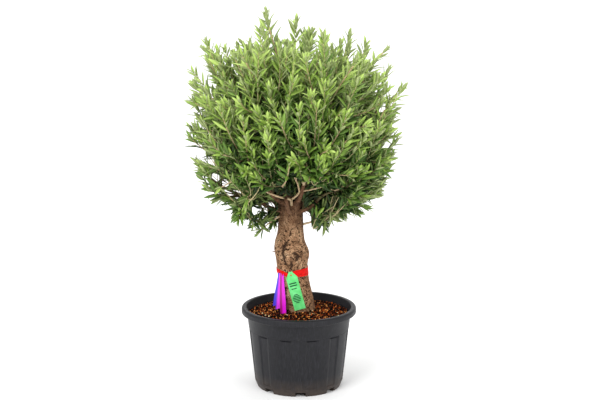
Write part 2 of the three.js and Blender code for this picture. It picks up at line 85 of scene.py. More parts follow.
def add_node(tree, kind, inputs=None, stops=(), into=None, **settings):
    """Adds a shader node. inputs maps its sockets to values, to outputs of other nodes, or to other
    nodes, whose first output is meant. Its own first output is linked to the socket into."""
    made = tree.nodes.new(kind)
    for name, value in settings.items():
        setattr(made, name, value)
    for name, value in (inputs or {}).items():
        if isinstance(value, bpy.types.Node):
            value = value.outputs[0]
        if isinstance(value, bpy.types.NodeSocket):
            tree.links.new(value, made.inputs[name])
        else:
            made.inputs[name].default_value = value
    while stops and len(made.color_ramp.elements) < len(stops):
        made.color_ramp.elements.new(0.5)
    for i, (place, hex_value) in enumerate(stops):
        made.color_ramp.elements[i].position = place
        made.color_ramp.elements[i].color = colour(hex_value)
    if into:
        tree.links.new(made.outputs[0], into)
    return made


def new_material(name, base, roughness, specular=0.5):
    """A material with its shader set: returns it, its tree, its shader's sockets and a position."""
    material = bpy.data.materials.new(name)
    material.use_nodes = True
    tree = material.node_tree
    shader = tree.nodes["Principled BSDF"].inputs
    shader["Base Color"].default_value = colour(base)
    shader["Roughness"].default_value = roughness
    shader["Specular IOR Level"].default_value = specular
    return material, tree, shader, add_node(tree, "ShaderNodeTexCoord").outputs["Object"]


def new_object(name, data):
    """An object in the scene."""
    made = bpy.data.objects.new(name, data)
    bpy.context.scene.collection.objects.link(made)
    return made


def finished(name, bm):
    """A mesh from what was built in a bmesh, which is freed."""
    mesh = bpy.data.meshes.new(name)
    bm.to_mesh(mesh)
    bm.free()
    return mesh


def add_mesh(name, mesh, materials, slot_name, *nodes):
    """Makes a mesh a piece of the part, which rides on its one body."""
    for material in materials:
        mesh.materials.append(material)
    piece = new_object(name, mesh)
    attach(piece, "root")
    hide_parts(*nodes)


def add_piece(name, bm, materials, slot_name, node, sharp_angle=None):
    """The same for a bmesh, smooth but for edges above an angle."""
    mesh = finished(name, bm)
    if sharp_angle is not None:
        mesh.shade_smooth()
        mesh.set_sharp_from_angle(angle=math.radians(sharp_angle))
    add_mesh(name, mesh, materials, slot_name, node)


def close_up(bm):
    """Joins the edges that meet and turns all faces outwards."""
    bmesh.ops.remove_doubles(bm, verts=bm.verts, dist=1e-6)
    bmesh.ops.recalc_face_normals(bm, faces=bm.faces)


def turned(bm, profile, steps):
    """Spins a profile of (radius, height) points in millimetres once round Z."""
    verts = [bm.verts.new((r * MM, 0, z * MM)) for r, z in profile]
    edges = [bm.edges.new(pair) for pair in zip(verts, verts[1:])]
    around = dict(cent=(0, 0, 0), axis=(0, 0, 1), angle=math.tau)
    bmesh.ops.spin(bm, geom=verts + edges, steps=steps, use_merge=True, **around)
    close_up(bm)


def arc(radius_at, height_at, radius, start, end, steps):
    """Points of an arc of a profile, between two angles in degrees."""
    angles = [math.radians(start + (end - start) * i / steps) for i in range(steps + 1)]
    return [(radius_at + radius * math.cos(a), height_at + radius * math.sin(a)) for a in angles]


def smooth_step(low, high, x):
    """0 below low, 1 above high and a smooth ramp between."""
    share = min(1, max(0, (x - low) / (high - low)))
    return share * share * (3 - 2 * share)


def turn_between(a, b):
    """The signed turn from bearing b to bearing a, in degrees."""
    return (a - b + 180) % 360 - 180


def off_nearest(bearing, first, count):
    """How far a bearing is from the nearest of some places that lie evenly round the pot."""
    pitch = 360 / count
    return abs(turn_between(bearing, first + pitch * round((bearing - first) / pitch)))


def wall_radius(z):
    """The outside of the plain wall at a height."""
    top = POT_COLLAR_TOP_RADIUS - POT_COLLAR_TAPER - POT_COLLAR_STEP
    share = (z - POT_WALL_BOTTOM) / (POT_COLLAR_BOTTOM - POT_WALL_BOTTOM)
    return POT_WALL_BOTTOM_RADIUS + (top - POT_WALL_BOTTOM_RADIUS) * share


def pot_profile():
    """The pot's section, from the middle of its underside round the outside and the inside."""
    lip_bottom = POT_HEIGHT - POT_LIP_DEPTH
    notch_rows = [0.4, 6, 12, NOTCH_HEIGHT - 0.4, NOTCH_HEIGHT + 0.4]
    spread = POT_WALL_BOTTOM_RADIUS - POT_FOOT_RADIUS
    points = [(0, 0), (100, 0), (NOTCH_INNER - 2, 0), (POT_FOOT_RADIUS - 2, 0)]
    points += [(POT_FOOT_RADIUS + spread * z / POT_WALL_BOTTOM, z) for z in notch_rows]
    wall_rows = [POT_WALL_BOTTOM, PANEL_LOW - 2, PANEL_LOW, PANEL_LOW + 1.5, PANEL_LOW + 4]
    wall_rows += [60, 90, 120, 150, 180, 210]
    wall_rows += [PANEL_HIGH + step for step in (-9, -6, -4.5, -3, -1.5, -0.8, 0, 1)]
    points += [(wall_radius(z), z) for z in wall_rows]
    collar = wall_radius(POT_COLLAR_BOTTOM) + POT_COLLAR_STEP
    points += arc(collar - 2, POT_COLLAR_BOTTOM + 1, 2, -80, 0, 4)
    points += [(POT_COLLAR_TOP_RADIUS, lip_bottom - 2), (POT_COLLAR_TOP_RADIUS + 1.5, lip_bottom)]
    points += arc(POT_RIM_RADIUS - 4, lip_bottom + 4, 4, -90, 0, 5)
    points += arc(POT_RIM_RADIUS - 8, POT_HEIGHT - 8, 8, 0, 90, 8)
    points += arc(POT_MOUTH_RADIUS + 3, POT_HEIGHT - 4, 4, 90, 180, 6)
    points += [(POT_COLLAR_TOP_RADIUS - POT_WALL, lip_bottom)]
    inside = POT_WALL + PANEL_DEPTH + PANEL_GROOVE
    points += [(wall_radius(POT_COLLAR_BOTTOM) - inside, POT_COLLAR_BOTTOM - 4)]
    points += [(wall_radius(44) - inside, 44), (NOTCH_INNER - 6, 24), (0, 24)]
    return points


def press_panels_and_notches(bm):
    """Sinks the wall's panels and steps the drain notches in from the foot."""
    notch_half = math.degrees(NOTCH_WIDTH / 2 / POT_FOOT_RADIUS)
    in_notch = set()
    for v in bm.verts:
        radius = math.hypot(v.co.x, v.co.y) / MM
        z = v.co.z / MM
        if radius < NOTCH_INNER:
            continue
        bearing = math.degrees(math.atan2(v.co.y, v.co.x))
        moved = radius
        if z < NOTCH_HEIGHT:
            if off_nearest(bearing, NOTCH_FIRST, NOTCHES) < notch_half:
                moved = NOTCH_INNER + 0.02 * (radius - NOTCH_INNER + z)
                in_notch.add(v)
        elif PANEL_LOW - 1 < z < PANEL_HIGH + 1 and radius > wall_radius(z) - 1:
            off_middle = off_nearest(bearing, PANEL_FIRST, PANELS)
            across = 1 - smooth_step(PANEL_ANGLE / 2 - 2.6, PANEL_ANGLE / 2 + 0.1, off_middle)
            up = smooth_step(PANEL_LOW, PANEL_LOW + 1.5, z)
            up *= 1 - smooth_step(PANEL_HIGH - 0.8, PANEL_HIGH, z)
            sunk = PANEL_DEPTH * (0.5 + 0.5 * (z - PANEL_LOW) / (PANEL_HIGH - PANEL_LOW))
            sunk += PANEL_GROOVE * smooth_step(PANEL_HIGH - 6, PANEL_HIGH - 3, z)
            moved = radius - sunk * across * up
        v.co.x *= moved / radius
        v.co.y *= moved / radius
    # Faces inside a notch take the second material: near-black compost colour and painted shade
    for face in bm.faces:
        if all(v in in_notch for v in face.verts):
            face.material_index = 1


# Moulded polypropylene: charcoal with a satin skin, faint vertical drag lines from the mould and
# dried potting dust that thickens towards the foot.
pot_plastic, tree, shader, place = new_material("moulded_black_polypropylene", "#26272a", 0.55, 0.25)
drawn_out = add_node(tree, "ShaderNodeMapping", {"Vector": place, "Scale": (1, 1, 0.03)})
drag_lines = add_node(
    tree, "ShaderNodeTexNoise", {"Vector": drawn_out, "Scale": 420.0, "Detail": 5.0}
)
streaks = add_node(
    tree, "ShaderNodeValToRGB", {"Fac": drag_lines},
    stops=[(0.3, "#131316"), (0.52, "#1b1b1f"), (0.72, "#29292e")],
)
height = add_node(tree, "ShaderNodeSeparateXYZ", {"Vector": place}).outputs["Z"]
low_down = add_node(
    tree, "ShaderNodeMapRange",
    {"Value": height, "From Min": 0.07, "From Max": 0.0, "To Min": 0.0, "To Max": 0.42},
)
patches = add_node(tree, "ShaderNodeTexNoise", {"Vector": place, "Scale": 38.0, "Detail": 6.0})
dust = add_node(tree, "ShaderNodeMath", {0: low_down, 1: patches}, operation="MULTIPLY")
dusty = add_node(
    tree, "ShaderNodeMix", {"Factor": dust, 6: streaks, 7: colour("#7a6654")}, data_type="RGBA"
)
tree.links.new(dusty.outputs[2], shader["Base Color"])
add_node(
    tree, "ShaderNodeMapRange", {"Value": drag_lines, "To Min": 0.34, "To Max": 0.62},
    into=shader["Roughness"],
)
grain = add_node(tree, "ShaderNodeTexNoise", {"Vector": place, "Scale": 1400.0, "Detail": 2.0})
fine = add_node(tree, "ShaderNodeBump", {"Height": grain, "Strength": 0.12, "Distance": 0.0006})
add_node(
    tree, "ShaderNodeBump",
    {"Height": drag_lines, "Strength": 0.3, "Distance": 0.001, "Normal": fine},
    into=shader["Normal"],
)

# Wet compost and painted shade in the drain notches: the notch faces are near black, partly the
# colour of the compost that shows through a real notch and partly painted shade of its unlit inside
notch_compost_and_shade, tree, shader, place = new_material("compost_and_painted_shade", "#0a0706", 0.95, 0.1)
clods = add_node(tree, "ShaderNodeTexNoise", {"Vector": place, "Scale": 300.0, "Detail": 4.0})
add_node(
    tree, "ShaderNodeBump", {"Height": clods, "Strength": 0.6, "Distance": 0.002},
    into=shader["Normal"],
)

pot = bmesh.new()
turned(pot, pot_profile(), POT_STEPS)
press_panels_and_notches(pot)
add_piece("nursery_pot", pot, [pot_plastic, notch_compost_and_shade], "pot_plastic", "pot", sharp_angle=32)

# The soil
# Potting soil filled to a finger below the rim, in a low mound round the trunk and dressed with
# coarse pine bark: flat red-brown chips that lie at all angles, with a few split pale ones.
SOIL_LEVEL = 288
SOIL_EDGE_DROP = 9
SOIL_MOUND_RADIUS = 85
SOIL_UNDERSIDE = 250
CHIP_COUNT = 7600
CHIP_SIZES = ((7, 21), (2.4, 6.5), (1.2, 2.8))  # from and to, of length, width and thickness
# The second and fourth tones, near black, are partly the bark's own colour and partly painted shade
# among the chips
CHIP_TONES = ["#54220c", "#1f0b04", "#a64c19", "#080301", "#e09450", "#fbe9b0"]
CHIP_SHARES = [0.2, 0.27, 0.13, 0.31, 0.08, 0.01]
TRUNK_FOOT = (6, 0)
TRUNK_FOOT_RADIUS = 55


def bell(x, width):
    """1 where x is 0, and less on both sides of it over a width."""
    return math.exp(-((x / width) ** 2))


def wobble(x, y, z):
    """A smooth random value from -1 to 1 at a place."""
    return noise.noise(Vector((x, y, z)))


def off_foot(x, y):
    """How far a place on the soil is from the trunk's foot."""
    return math.hypot(x - TRUNK_FOOT[0], y - TRUNK_FOOT[1]) - TRUNK_FOOT_RADIUS


def soil_height(x, y):
    """The bed's height at a place, in millimetres."""
    radius = math.hypot(x, y)
    share = max(0, (radius - SOIL_MOUND_RADIUS) / (POT_MOUTH_RADIUS - SOIL_MOUND_RADIUS))
    rough = wobble(x / 16, y / 16, 0) * 2.8 + wobble(x / 6, y / 6, 1.5) * 2.0
    return SOIL_LEVEL - 3 - SOIL_EDGE_DROP * share + rough + 4 * bell(off_foot(x, y), 12)


def mesh_of(name, points, faces, tones, smooth=False):
    """A joined mesh from arrays: points in millimetres, triangles, and each one's material."""
    mesh = bpy.data.meshes.new(name)
    mesh.vertices.add(len(points))
    mesh.vertices.foreach_set("co", (np.asarray(points) * MM).ravel())
    mesh.loops.add(3 * len(faces))
    mesh.loops.foreach_set("vertex_index", np.asarray(faces).ravel())
    mesh.polygons.add(len(faces))
    mesh.polygons.foreach_set("loop_start", np.arange(len(faces)) * 3)
    mesh.polygons.foreach_set("material_index", np.asarray(tones))
    mesh.update(calc_edges=True)
    mesh.validate()
    if smooth:
        mesh.shade_smooth()
    return mesh


# Potting soil: near black and quite matt, so that it shows only as the gaps among the chips; the near
# black is partly the peat's own colour and partly painted shade in those gaps.
soil_crumb, tree, shader, place = new_material("peat_soil", "#2a160d", 0.95, 0.05)
crumbs = add_node(tree, "ShaderNodeTexNoise", {"Vector": place, "Scale": 190.0, "Detail": 6.0})
add_node(
    tree, "ShaderNodeValToRGB", {"Fac": crumbs},
    stops=[(0.35, "#070302"), (0.55, "#140906"), (0.75, "#28140b")], into=shader["Base Color"],
)
add_node(
    tree, "ShaderNodeBump", {"Height": crumbs, "Strength": 0.9, "Distance": 0.004},
    into=shader["Normal"],
)

soil = bmesh.new()
soil_edge = POT_COLLAR_TOP_RADIUS - POT_WALL - 1
surface = [(soil_edge * (1 - i / 48), SOIL_UNDERSIDE + 30) for i in range(49)]
turned(soil, [(0, SOIL_UNDERSIDE), (soil_edge - 3, SOIL_UNDERSIDE)] + surface, 150)
for v in soil.verts:
    if v.co.z > (SOIL_UNDERSIDE + 10) * MM:
        v.co.z = soil_height(v.co.x / MM, v.co.y / MM) * MM
add_piece("soil_bed", soil, [soil_crumb], "bark_mulch", "soil", sharp_angle=60)

# Composted pine bark, dealt out by chip: matt, faintly fibrous along the chip.
chip_materials = []
for index, tone in enumerate(CHIP_TONES):
    chip_bark, tree, shader, place = new_material(f"pine_bark_chip_{index + 1}", tone, 0.85, 0.1)
    fibres = add_node(tree, "ShaderNodeTexNoise", {"Vector": place, "Scale": 600.0, "Detail": 3.0})
    add_node(
        tree, "ShaderNodeBump", {"Height": fibres, "Strength": 0.5, "Distance": 0.0008},
        into=shader["Normal"],
    )
    chip_materials.append(chip_bark)

chip_random = np.random.default_rng(8)
CHIP_CORNERS = np.array([(x, y, z) for z in (-1, 1) for y in (-1, 1) for x in (-1, 1)]) / 2
CHIP_FACES = np.array([
    (0, 2, 3), (0, 3, 1), (4, 5, 7), (4, 7, 6), (0, 1, 5), (0, 5, 4),
    (2, 6, 7), (2, 7, 3), (0, 4, 6), (0, 6, 2), (1, 3, 7), (1, 7, 5),
])
chip_points, chip_faces, chip_tones = [], [], []
for k in range(CHIP_COUNT):
    radius = (soil_edge - 7) * math.sqrt(chip_random.random())
    bearing = chip_random.random() * math.tau
    x, y = radius * math.cos(bearing), radius * math.sin(bearing)
    length, width, thickness = [chip_random.uniform(*span) for span in CHIP_SIZES]
    length = min(length, 2 * (soil_edge - 3 - radius) + 6)
    if off_foot(x, y) < -3:
        continue
    turn = chip_random.random() * math.tau
    pitch, roll = chip_random.normal() * 0.5, chip_random.normal() * 0.6
    corners = CHIP_CORNERS * (1 + chip_random.uniform(-0.35, 0.2, (8, 3)))
    corners = corners * (length, width, thickness)
    run = math.cos(pitch)
    along = np.array((math.cos(turn) * run, math.sin(turn) * run, math.sin(pitch)))
    level = np.cross((0, 0, 1), along)
    level /= np.linalg.norm(level)
    side = level * math.cos(roll) + np.cross(along, level) * math.sin(roll)
    corners = corners @ np.array((along, side, np.cross(along, side)))
    lift = soil_height(x, y) + 0.4 + chip_random.random() * 5 + 6 * bell(off_foot(x, y), 13)
    if np.hypot(*(corners[:, :2] + (x, y)).T).max() > soil_edge - 0.5:
        continue
    chip_faces.append(CHIP_FACES + 8 * len(chip_points))
    chip_points.append(corners + (x, y, lift))
    chip_tones.append(np.full(12, chip_random.choice(len(CHIP_TONES), p=CHIP_SHARES)))
chip_arrays = [np.concatenate(parts) for parts in (chip_points, chip_faces, chip_tones)]
add_mesh("bark_chips", mesh_of("bark_chips", *chip_arrays), chip_materials, "bark_mulch", "soil")

# The trunk
# An old olive trunk that was topped at knee height: it flares at the foot, leans to the left and
# stands up again, with a healed bough scar, a deep fold beside it and a smooth thin bark that is
# freckled with lenticels.
TRUNK_STATIONS = np.array([  # height, centre x and y, half width
    (288, 6, 0, 54), (320, 3, 0, 55), (350, -4, 0, 57), (381, -12, 1, 58), (412, -20, 2, 58.5),
    (455, -26, 4, 57.5), (505, -28, 5, 57), (536, -31, 6, 56), (567, -33, 6, 52.5),
    (598, -31, 5, 48.5), (640, -30, 3, 46), (670, -28, 2, 43.5), (715, -28, 0, 44), (756, -28, 0, 44),
])
TRUNK_DEPTH_SHARE = 0.95
TRUNK_FLARE = 5
TRUNK_FLARE_HEIGHT = 22
TRUNK_DOME_FROM = 712
TRUNK_BOTTOM = 284
TRUNK_TOP = 756
# Swellings: bearing, height, how far they stand out and how far they spread each way
TRUNK_SWELLINGS = [
    (-12, 521, 12, 30, 24), (-78, 519, 7, 24, 22), (178, 536, 6, 34, 30), (95, 470, 6, 40, 45),
]
BARK_FOLDS = [  # bearing and height of each end and of a middle point, depth, half width
    ((-99, 578), (-142, 530), (-104, 478), 8.0, 4.8),
    ((-97, 562), (-124, 540), (-112, 520), 4.0, 3.0),
    ((-93, 500), (-86, 488), (-96, 466), 5.0, 4.4),
    ((-67, 578), (-56, 562), (-40, 548), 2.0, 2.2),
    ((-60, 496), (-72, 488), (-84, 480), 3.0, 3.0),
    ((-58, 540), (-50, 528), (-54, 508), 2.2, 3.0),
    ((-140, 640), (-128, 600), (-133, 560), 1.4, 3.0),
    ((-62, 660), (-70, 628), (-64, 590), 1.2, 3.0),
    ((60, 600), (75, 540), (66, 470), 3.0, 4.0),
    ((150, 430), (140, 380), (149, 320), 2.4, 4.0),
]
SCAR_BEARING = -79
SCAR_HEIGHT = 515
STUB_BEARING = 184  # a dry twig's stub on the left
STUB_HEIGHT = 523
STUB_WAY = (-1, -0.1, 0.35)
DEGREES_A_RADIAN = 57.3
TRUNK_GRID = (256, 372)  # columns and rows of the mesh


def trunk_at(z):
    """The trunk's centre and half width at a height."""
    heights = TRUNK_STATIONS[:, 0]
    return [float(np.interp(z, heights, TRUNK_STATIONS[:, i])) for i in (1, 2, 3)]


def trunk_radius(z, bearing):
    """The distance of the bark from the trunk's own centre, with the bearing in radians."""
    radius = trunk_at(z)[2]
    flare = TRUNK_FLARE * math.exp((SOIL_LEVEL - max(z, SOIL_LEVEL)) / TRUNK_FLARE_HEIGHT)
    uneven = 0.02 * math.cos(2 * bearing + z / 90) + 0.016 * math.cos(3 * bearing - z / 70)
    out = radius * (1 + uneven)
    out += flare * (1 + 0.5 * math.cos(4 * bearing + 0.6))
    for at, height, stand, spread, spread_z in TRUNK_SWELLINGS:
        a = turn_between(math.degrees(bearing), at) / spread
        b = (z - height) / spread_z
        out += stand * math.exp(-(a * a + b * b) / 2)
    if z > TRUNK_DOME_FROM:
        share = (z - TRUNK_DOME_FROM) / (TRUNK_TOP - TRUNK_DOME_FROM)
        out *= math.sqrt(max(0.12, 1 - share * share * 0.88))
    return out


def bark_point(z, bearing, off=0.0):
    """A point on the bark, or off it by a distance, in millimetres."""
    x, y, _ = trunk_at(z)
    radius = trunk_radius(z, bearing) + off
    x += radius * math.cos(bearing)
    return np.array((x, y + radius * math.sin(bearing) * TRUNK_DEPTH_SHARE, z))


def round_bark(bearing, middle, z):
    """The way round the bark from one bearing to another at a height, in millimetres."""
    return turn_between(bearing, middle) / DEGREES_A_RADIAN * trunk_at(z)[2]


def fold_depth(bearing, z):
    """How deep the folds in the bark are at a bearing in degrees and a height."""
    deepest = 0
    for start, middle, end, depth, half_width in BARK_FOLDS:
        if not end[1] - 12 < z < start[1] + 12:
            continue
        share = min(1, max(0, (start[1] - z) / (start[1] - end[1])))
        line = (1 - share) ** 2 * start[0] + 2 * share * (1 - share) * middle[0] + share ** 2 * end[0]
        line += 6.0 * wobble(z / 14, depth, 0) + 4.0 * wobble(z / 4, depth, 5)
        across = round_bark(bearing, line, z)
        across *= 1 + 0.5 * wobble(across / 4, z / 6, depth)
        beyond = max(0, end[1] - z, z - start[1])
        fade = math.sin(math.pi * (0.12 + 0.76 * share)) * math.exp(-beyond / 5)
        fade *= 0.85 + 0.5 * wobble(z / 9, depth, 9)
        deepest = max(deepest, depth * fade * bell(across, half_width))
    return deepest


def scar_relief(bearing, z):
    """The healed bough scar: bark that swirls round a boss, sunk deepest above and right of it."""
    across = round_bark(bearing, SCAR_BEARING, z)
    along = (z - SCAR_HEIGHT) * 0.82
    across += 5.0 * wobble(across / 9, along / 9, 3)
    along += 5.0 * wobble(across / 9, along / 9, 8)
    distance = math.hypot(across, along)
    angle = math.degrees(math.atan2(along, across))
    swirl = distance - turn_between(angle, 200) / 60
    lip = 3.2 * bell(swirl - 21, 6)
    open_side = 0.2 + 0.8 * bell(turn_between(angle, 30), 75)
    ring = 8.5 * open_side * bell(swirl - 13, 3.4 + 3.4 * open_side)
    crack = 2.2 * bell(swirl - 5.5, 1.8)
    boss = 3.4 * bell(distance, 5.0)
    radiating = 0.8 * math.sin(math.radians(angle) * 7 + distance / 3) * bell(distance - 22, 12)
    return lip - ring - crack + boss + radiating


def bark_relief(bearing, z):
    """How far the bark stands out of the plain trunk, beside its folds and the scar."""
    a = math.radians(bearing)
    x, y = 50 * math.cos(a), 50 * math.sin(a)
    sinews = wobble(x / 16, y / 16, z / 75)
    ridges = wobble(x / 4.5, y / 4.5, z / 22)
    warts = wobble(x / 3.2, y / 3.2, z / 3.6)
    crust = wobble(x / 1.5, y / 1.5, z / 1.9)
    head = smooth_step(600, 700, z)
    out = 1.5 * sinews + (0.65 + 0.9 * head) * ridges + (0.5 + 0.5 * head) * warts + 0.28 * crust
    rib = 4.5 * bell(turn_between(bearing, -108), 8) * bell(z - 512, 26)  # from fold to scar
    roots = 2.4 * (1 - smooth_step(290, 312, z)) * abs(wobble(x / 7, y / 7, z / 12))
    by_scar = bell(turn_between(bearing, SCAR_BEARING), 34) * bell(z - SCAR_HEIGHT, 44)
    return out + rib + roots + by_scar * (0.9 * warts + 0.7 * crust)


def point_at(bm, verts, way, new_way):
    """Turns vertices about the origin, so that what points one way points another."""
    turn = Vector(way).rotation_difference(Vector(new_way))
    bmesh.ops.rotate(bm, verts=verts, cent=(0, 0, 0), matrix=turn.to_matrix())


# Olive bark: a thin grey-tan skin freckled with dark lenticels a few millimetres long, redder and
# rougher at the head, where painted shade of the crown darkens the red-brown, darker brown in patches
# towards the foot, and painted shade in the folds and the scar's ring.
bark, tree, shader, place = new_material("olive_bark", "#8d745b", 0.86, 0.25)
cloud = add_node(
    tree, "ShaderNodeTexNoise", {"Vector": place, "Scale": 26.0, "Detail": 8.0, "Roughness": 0.65}
)
bark_tone = add_node(
    tree, "ShaderNodeValToRGB", {"Fac": cloud},
    stops=[(0.28, "#735439"), (0.45, "#a27b5b"), (0.6, "#bf9a77"), (0.76, "#e0c4a4")],
)
speckle = add_node(
    tree, "ShaderNodeTexNoise", {"Vector": place, "Scale": 250.0, "Detail": 3.0, "Roughness": 0.6}
)
speckle_tone = add_node(
    tree, "ShaderNodeValToRGB", {"Fac": speckle},
    stops=[(0.38, "#4a3c34"), (0.5, "#e2dad2"), (0.62, "#ffffff")],
)
speckled = add_node(
    tree, "ShaderNodeMix", {"Factor": 0.8, 6: bark_tone, 7: speckle_tone},
    data_type="RGBA", blend_type="MULTIPLY",
)
pore_place = add_node(tree, "ShaderNodeMapping", {"Vector": place, "Scale": (1, 1, 1.2)})
pores = add_node(tree, "ShaderNodeTexVoronoi", {"Vector": pore_place, "Scale": 175.0})
pore_patches = add_node(tree, "ShaderNodeTexNoise", {"Vector": place, "Scale": 90.0, "Detail": 3.0})
pore_size = add_node(
    tree, "ShaderNodeMapRange",
    {"Value": pore_patches, "From Min": 0.36, "From Max": 0.68, "To Min": 0.0, "To Max": 0.74},
)
freckle = add_node(tree, "ShaderNodeMath", {0: pore_size, 1: pores}, operation="GREATER_THAN")
height = add_node(tree, "ShaderNodeSeparateXYZ", {"Vector": place}).outputs["Z"]
# The head's red-brown: partly the bark's own colour, partly painted shade from the crown above
head_red_and_shade = add_node(
    tree, "ShaderNodeMapRange",
    {"Value": height, "From Min": 0.6, "From Max": 0.7, "To Min": 0.0, "To Max": 0.7},
)
# Darker brown in patches towards the foot
near_foot = add_node(
    tree, "ShaderNodeMapRange",
    {"Value": height, "From Min": 0.33, "From Max": 0.288, "To Min": 0.0, "To Max": 0.8},
)
darker_foot = add_node(tree, "ShaderNodeMath", {0: near_foot, 1: cloud}, operation="MULTIPLY")
# Painted shade: the fold attribute holds how dark the folds and the scar's sunk ring are painted
folds = add_node(tree, "ShaderNodeAttribute", attribute_name="fold").outputs["Fac"]
bark_colour = speckled.outputs[2]
for share, hex_value in (
    (freckle, "#33200f"), (head_red_and_shade, "#523524"), (darker_foot, "#46321e"), (folds, "#2a190e"),
):
    bark_colour = add_node(
        tree, "ShaderNodeMix", {"Factor": share, 6: bark_colour, 7: colour(hex_value)},
        data_type="RGBA",
    ).outputs[2]
tree.links.new(bark_colour, shader["Base Color"])
crackle = add_node(tree, "ShaderNodeTexNoise", {"Vector": place, "Scale": 420.0, "Detail": 5.0})
pits = add_node(
    tree, "ShaderNodeBump", {"Height": freckle, "Strength": 0.45, "Distance": 0.0012}, invert=True
)
add_node(
    tree, "ShaderNodeBump",
    {"Height": crackle, "Strength": 0.5, "Distance": 0.0015, "Normal": pits},
    into=shader["Normal"],
)

trunk = bmesh.new()
bmesh.ops.create_grid(trunk, x_segments=TRUNK_GRID[0], y_segments=TRUNK_GRID[1], size=0.5)
fold_layer = trunk.verts.layers.float.new("fold")
for v in trunk.verts:
    bearing = (v.co.x + 0.5) * 360 - 180
    z = TRUNK_BOTTOM + (TRUNK_TOP - TRUNK_BOTTOM) * (v.co.y + 0.5)
    depth = fold_depth(bearing, z)
    scar = scar_relief(bearing, z)
    # Painted shade for the folds and the scar's sunk ring, from their depth
    v[fold_layer] = min(1, min(1, depth / 3.4) * 0.9 + min(0.9, max(0, -scar / 4.2)))
    v.co = Vector(bark_point(z, math.radians(bearing), bark_relief(bearing, z) - depth + scar) * MM)
bmesh.ops.remove_doubles(trunk, verts=trunk.verts, dist=1e-6)
ends = bmesh.ops.holes_fill(trunk, edges=[e for e in trunk.edges if e.is_boundary], sides=0)["faces"]
bmesh.ops.poke(trunk, faces=ends)
bmesh.ops.recalc_face_normals(trunk, faces=trunk.faces)
stub_shape = dict(segments=8, radius1=2.6 * MM, radius2=1.2 * MM, depth=18 * MM)
stub = bmesh.ops.create_cone(trunk, cap_ends=True, **stub_shape)["verts"]
point_at(trunk, stub, (0, 0, 1), STUB_WAY)
stub_root = bark_point(STUB_HEIGHT, math.radians(STUB_BEARING), 2)
bmesh.ops.translate(trunk, verts=stub, vec=Vector(stub_root * MM))
add_piece("olive_trunk", trunk, [bark], "olive_bark", "trunk", sharp_angle=180)

# The tape
# Red polyethylene flagging tape, wound once round the trunk and drawn tight: it narrows and dips
# where it twists on the front, and is tied in a flat knot at the front left.
TAPE_HEIGHT = 452
TAPE_OFF = 1.3
TAPE_THICKNESS = 0.6
KNOT_BEARING = 232
TAPE_STEPS = (220, 8)


def tape_width(bearing):
    """The tape's width at a bearing: it is gathered on the left and spread on the right."""
    right = smooth_step(-105, -60, turn_between(bearing, 0))
    left = 1 - smooth_step(150, 175, abs(turn_between(bearing, 0)))
    twist = 1 - 0.35 * bell(turn_between(bearing, -101), 7)
    return (17 + 9 * right * left + 3 * bell(turn_between(bearing, -20), 35)) * twist


# Polyethylene film: a hard clear red with a soft sheen and creases along its length.
tape_film, tree, shader, place = new_material("red_flagging_film", "#d0100a", 0.55, 0.12)
drawn_out = add_node(tree, "ShaderNodeMapping", {"Vector": place, "Scale": (0.25, 0.25, 1)})
creases = add_node(tree, "ShaderNodeTexNoise", {"Vector": drawn_out, "Scale": 330.0, "Detail": 3.0})
add_node(
    tree, "ShaderNodeValToRGB", {"Fac": creases},
    stops=[(0.3, "#a80703"), (0.5, "#d60d07"), (0.75, "#ee1a10")], into=shader["Base Color"],
)
add_node(
    tree, "ShaderNodeBump", {"Height": creases, "Strength": 0.5, "Distance": 0.0016},
    into=shader["Normal"],
)

tape = bmesh.new()
bmesh.ops.create_grid(tape, x_segments=TAPE_STEPS[0], y_segments=TAPE_STEPS[1], size=0.5)
for v in tape.verts:
    bearing = (v.co.x + 0.5) * 360 - 180
    across = v.co.y
    dip = 9 * bell(turn_between(bearing, -103), 16) + 3 * bell(turn_between(bearing, -45), 40)
    z = TAPE_HEIGHT - dip + across * tape_width(bearing) + 0.5 * math.sin(bearing / 9)
    off = TAPE_OFF + 0.7 * abs(wobble(bearing / 9, across * 3, 5)) + 0.4 * (1 - abs(across) * 2)
    v.co = Vector(bark_point(z, math.radians(bearing), off) * MM)
close_up(tape)
bmesh.ops.solidify(tape, geom=tape.faces, thickness=-TAPE_THICKNESS * MM)
add_piece("tape_wound", tape, [tape_film], "red_tape", "tape_band", sharp_angle=40)

knot = bmesh.new()
bmesh.ops.create_icosphere(knot, subdivisions=5, radius=1)
knot_bearing = math.radians(KNOT_BEARING)
knot_out = Vector((math.cos(knot_bearing), math.sin(knot_bearing), 0))
knot_side = Vector((0, 0, 1)).cross(knot_out)
knot_centre = Vector(bark_point(TAPE_HEIGHT - 4, knot_bearing, 4.5))
for v in knot.verts:
    n = v.co.normalized()
    wraps = 0.8 + 0.2 * abs(math.sin(5.5 * n.y + 2.6 * n.z)) + 0.16 * noise.noise(n * 2.6)
    p = knot_centre + knot_out * (n.x * 3.9 * wraps) + knot_side * (n.y * 10.5 * wraps)
    v.co = (p + Vector((0, 0, n.z * 9 * wraps))) * MM
add_piece("tape_tied", knot, [tape_film], "red_tape", "tape_knot", sharp_angle=50)

# The ribbons
# Three strips of thin satin flagging tape that hang out of the knot in front of one another: a
# blue one behind, then a bright pink one with a violet edge, and a magenta one folded lengthwise,
# whose fold is painted as shade on one half of the strip.
RIBBON_WIDTH = 24
RIBBON_THICKNESS = 0.35
RIBBON_STEPS = (12, 60)
# Each one's name, distance off the bark, place at the top, sideways drift, lower end, how much it is
# gathered in the knot, and the slant of its end
RIBBONS = [
    ("blue", 4.0, -8, -17, 318, 0.7, 7), ("violet", 6.8, -2, -10, 306, 0.72, 9),
    ("magenta", 9.6, 5, 4, 292, 0.6, 1),
]
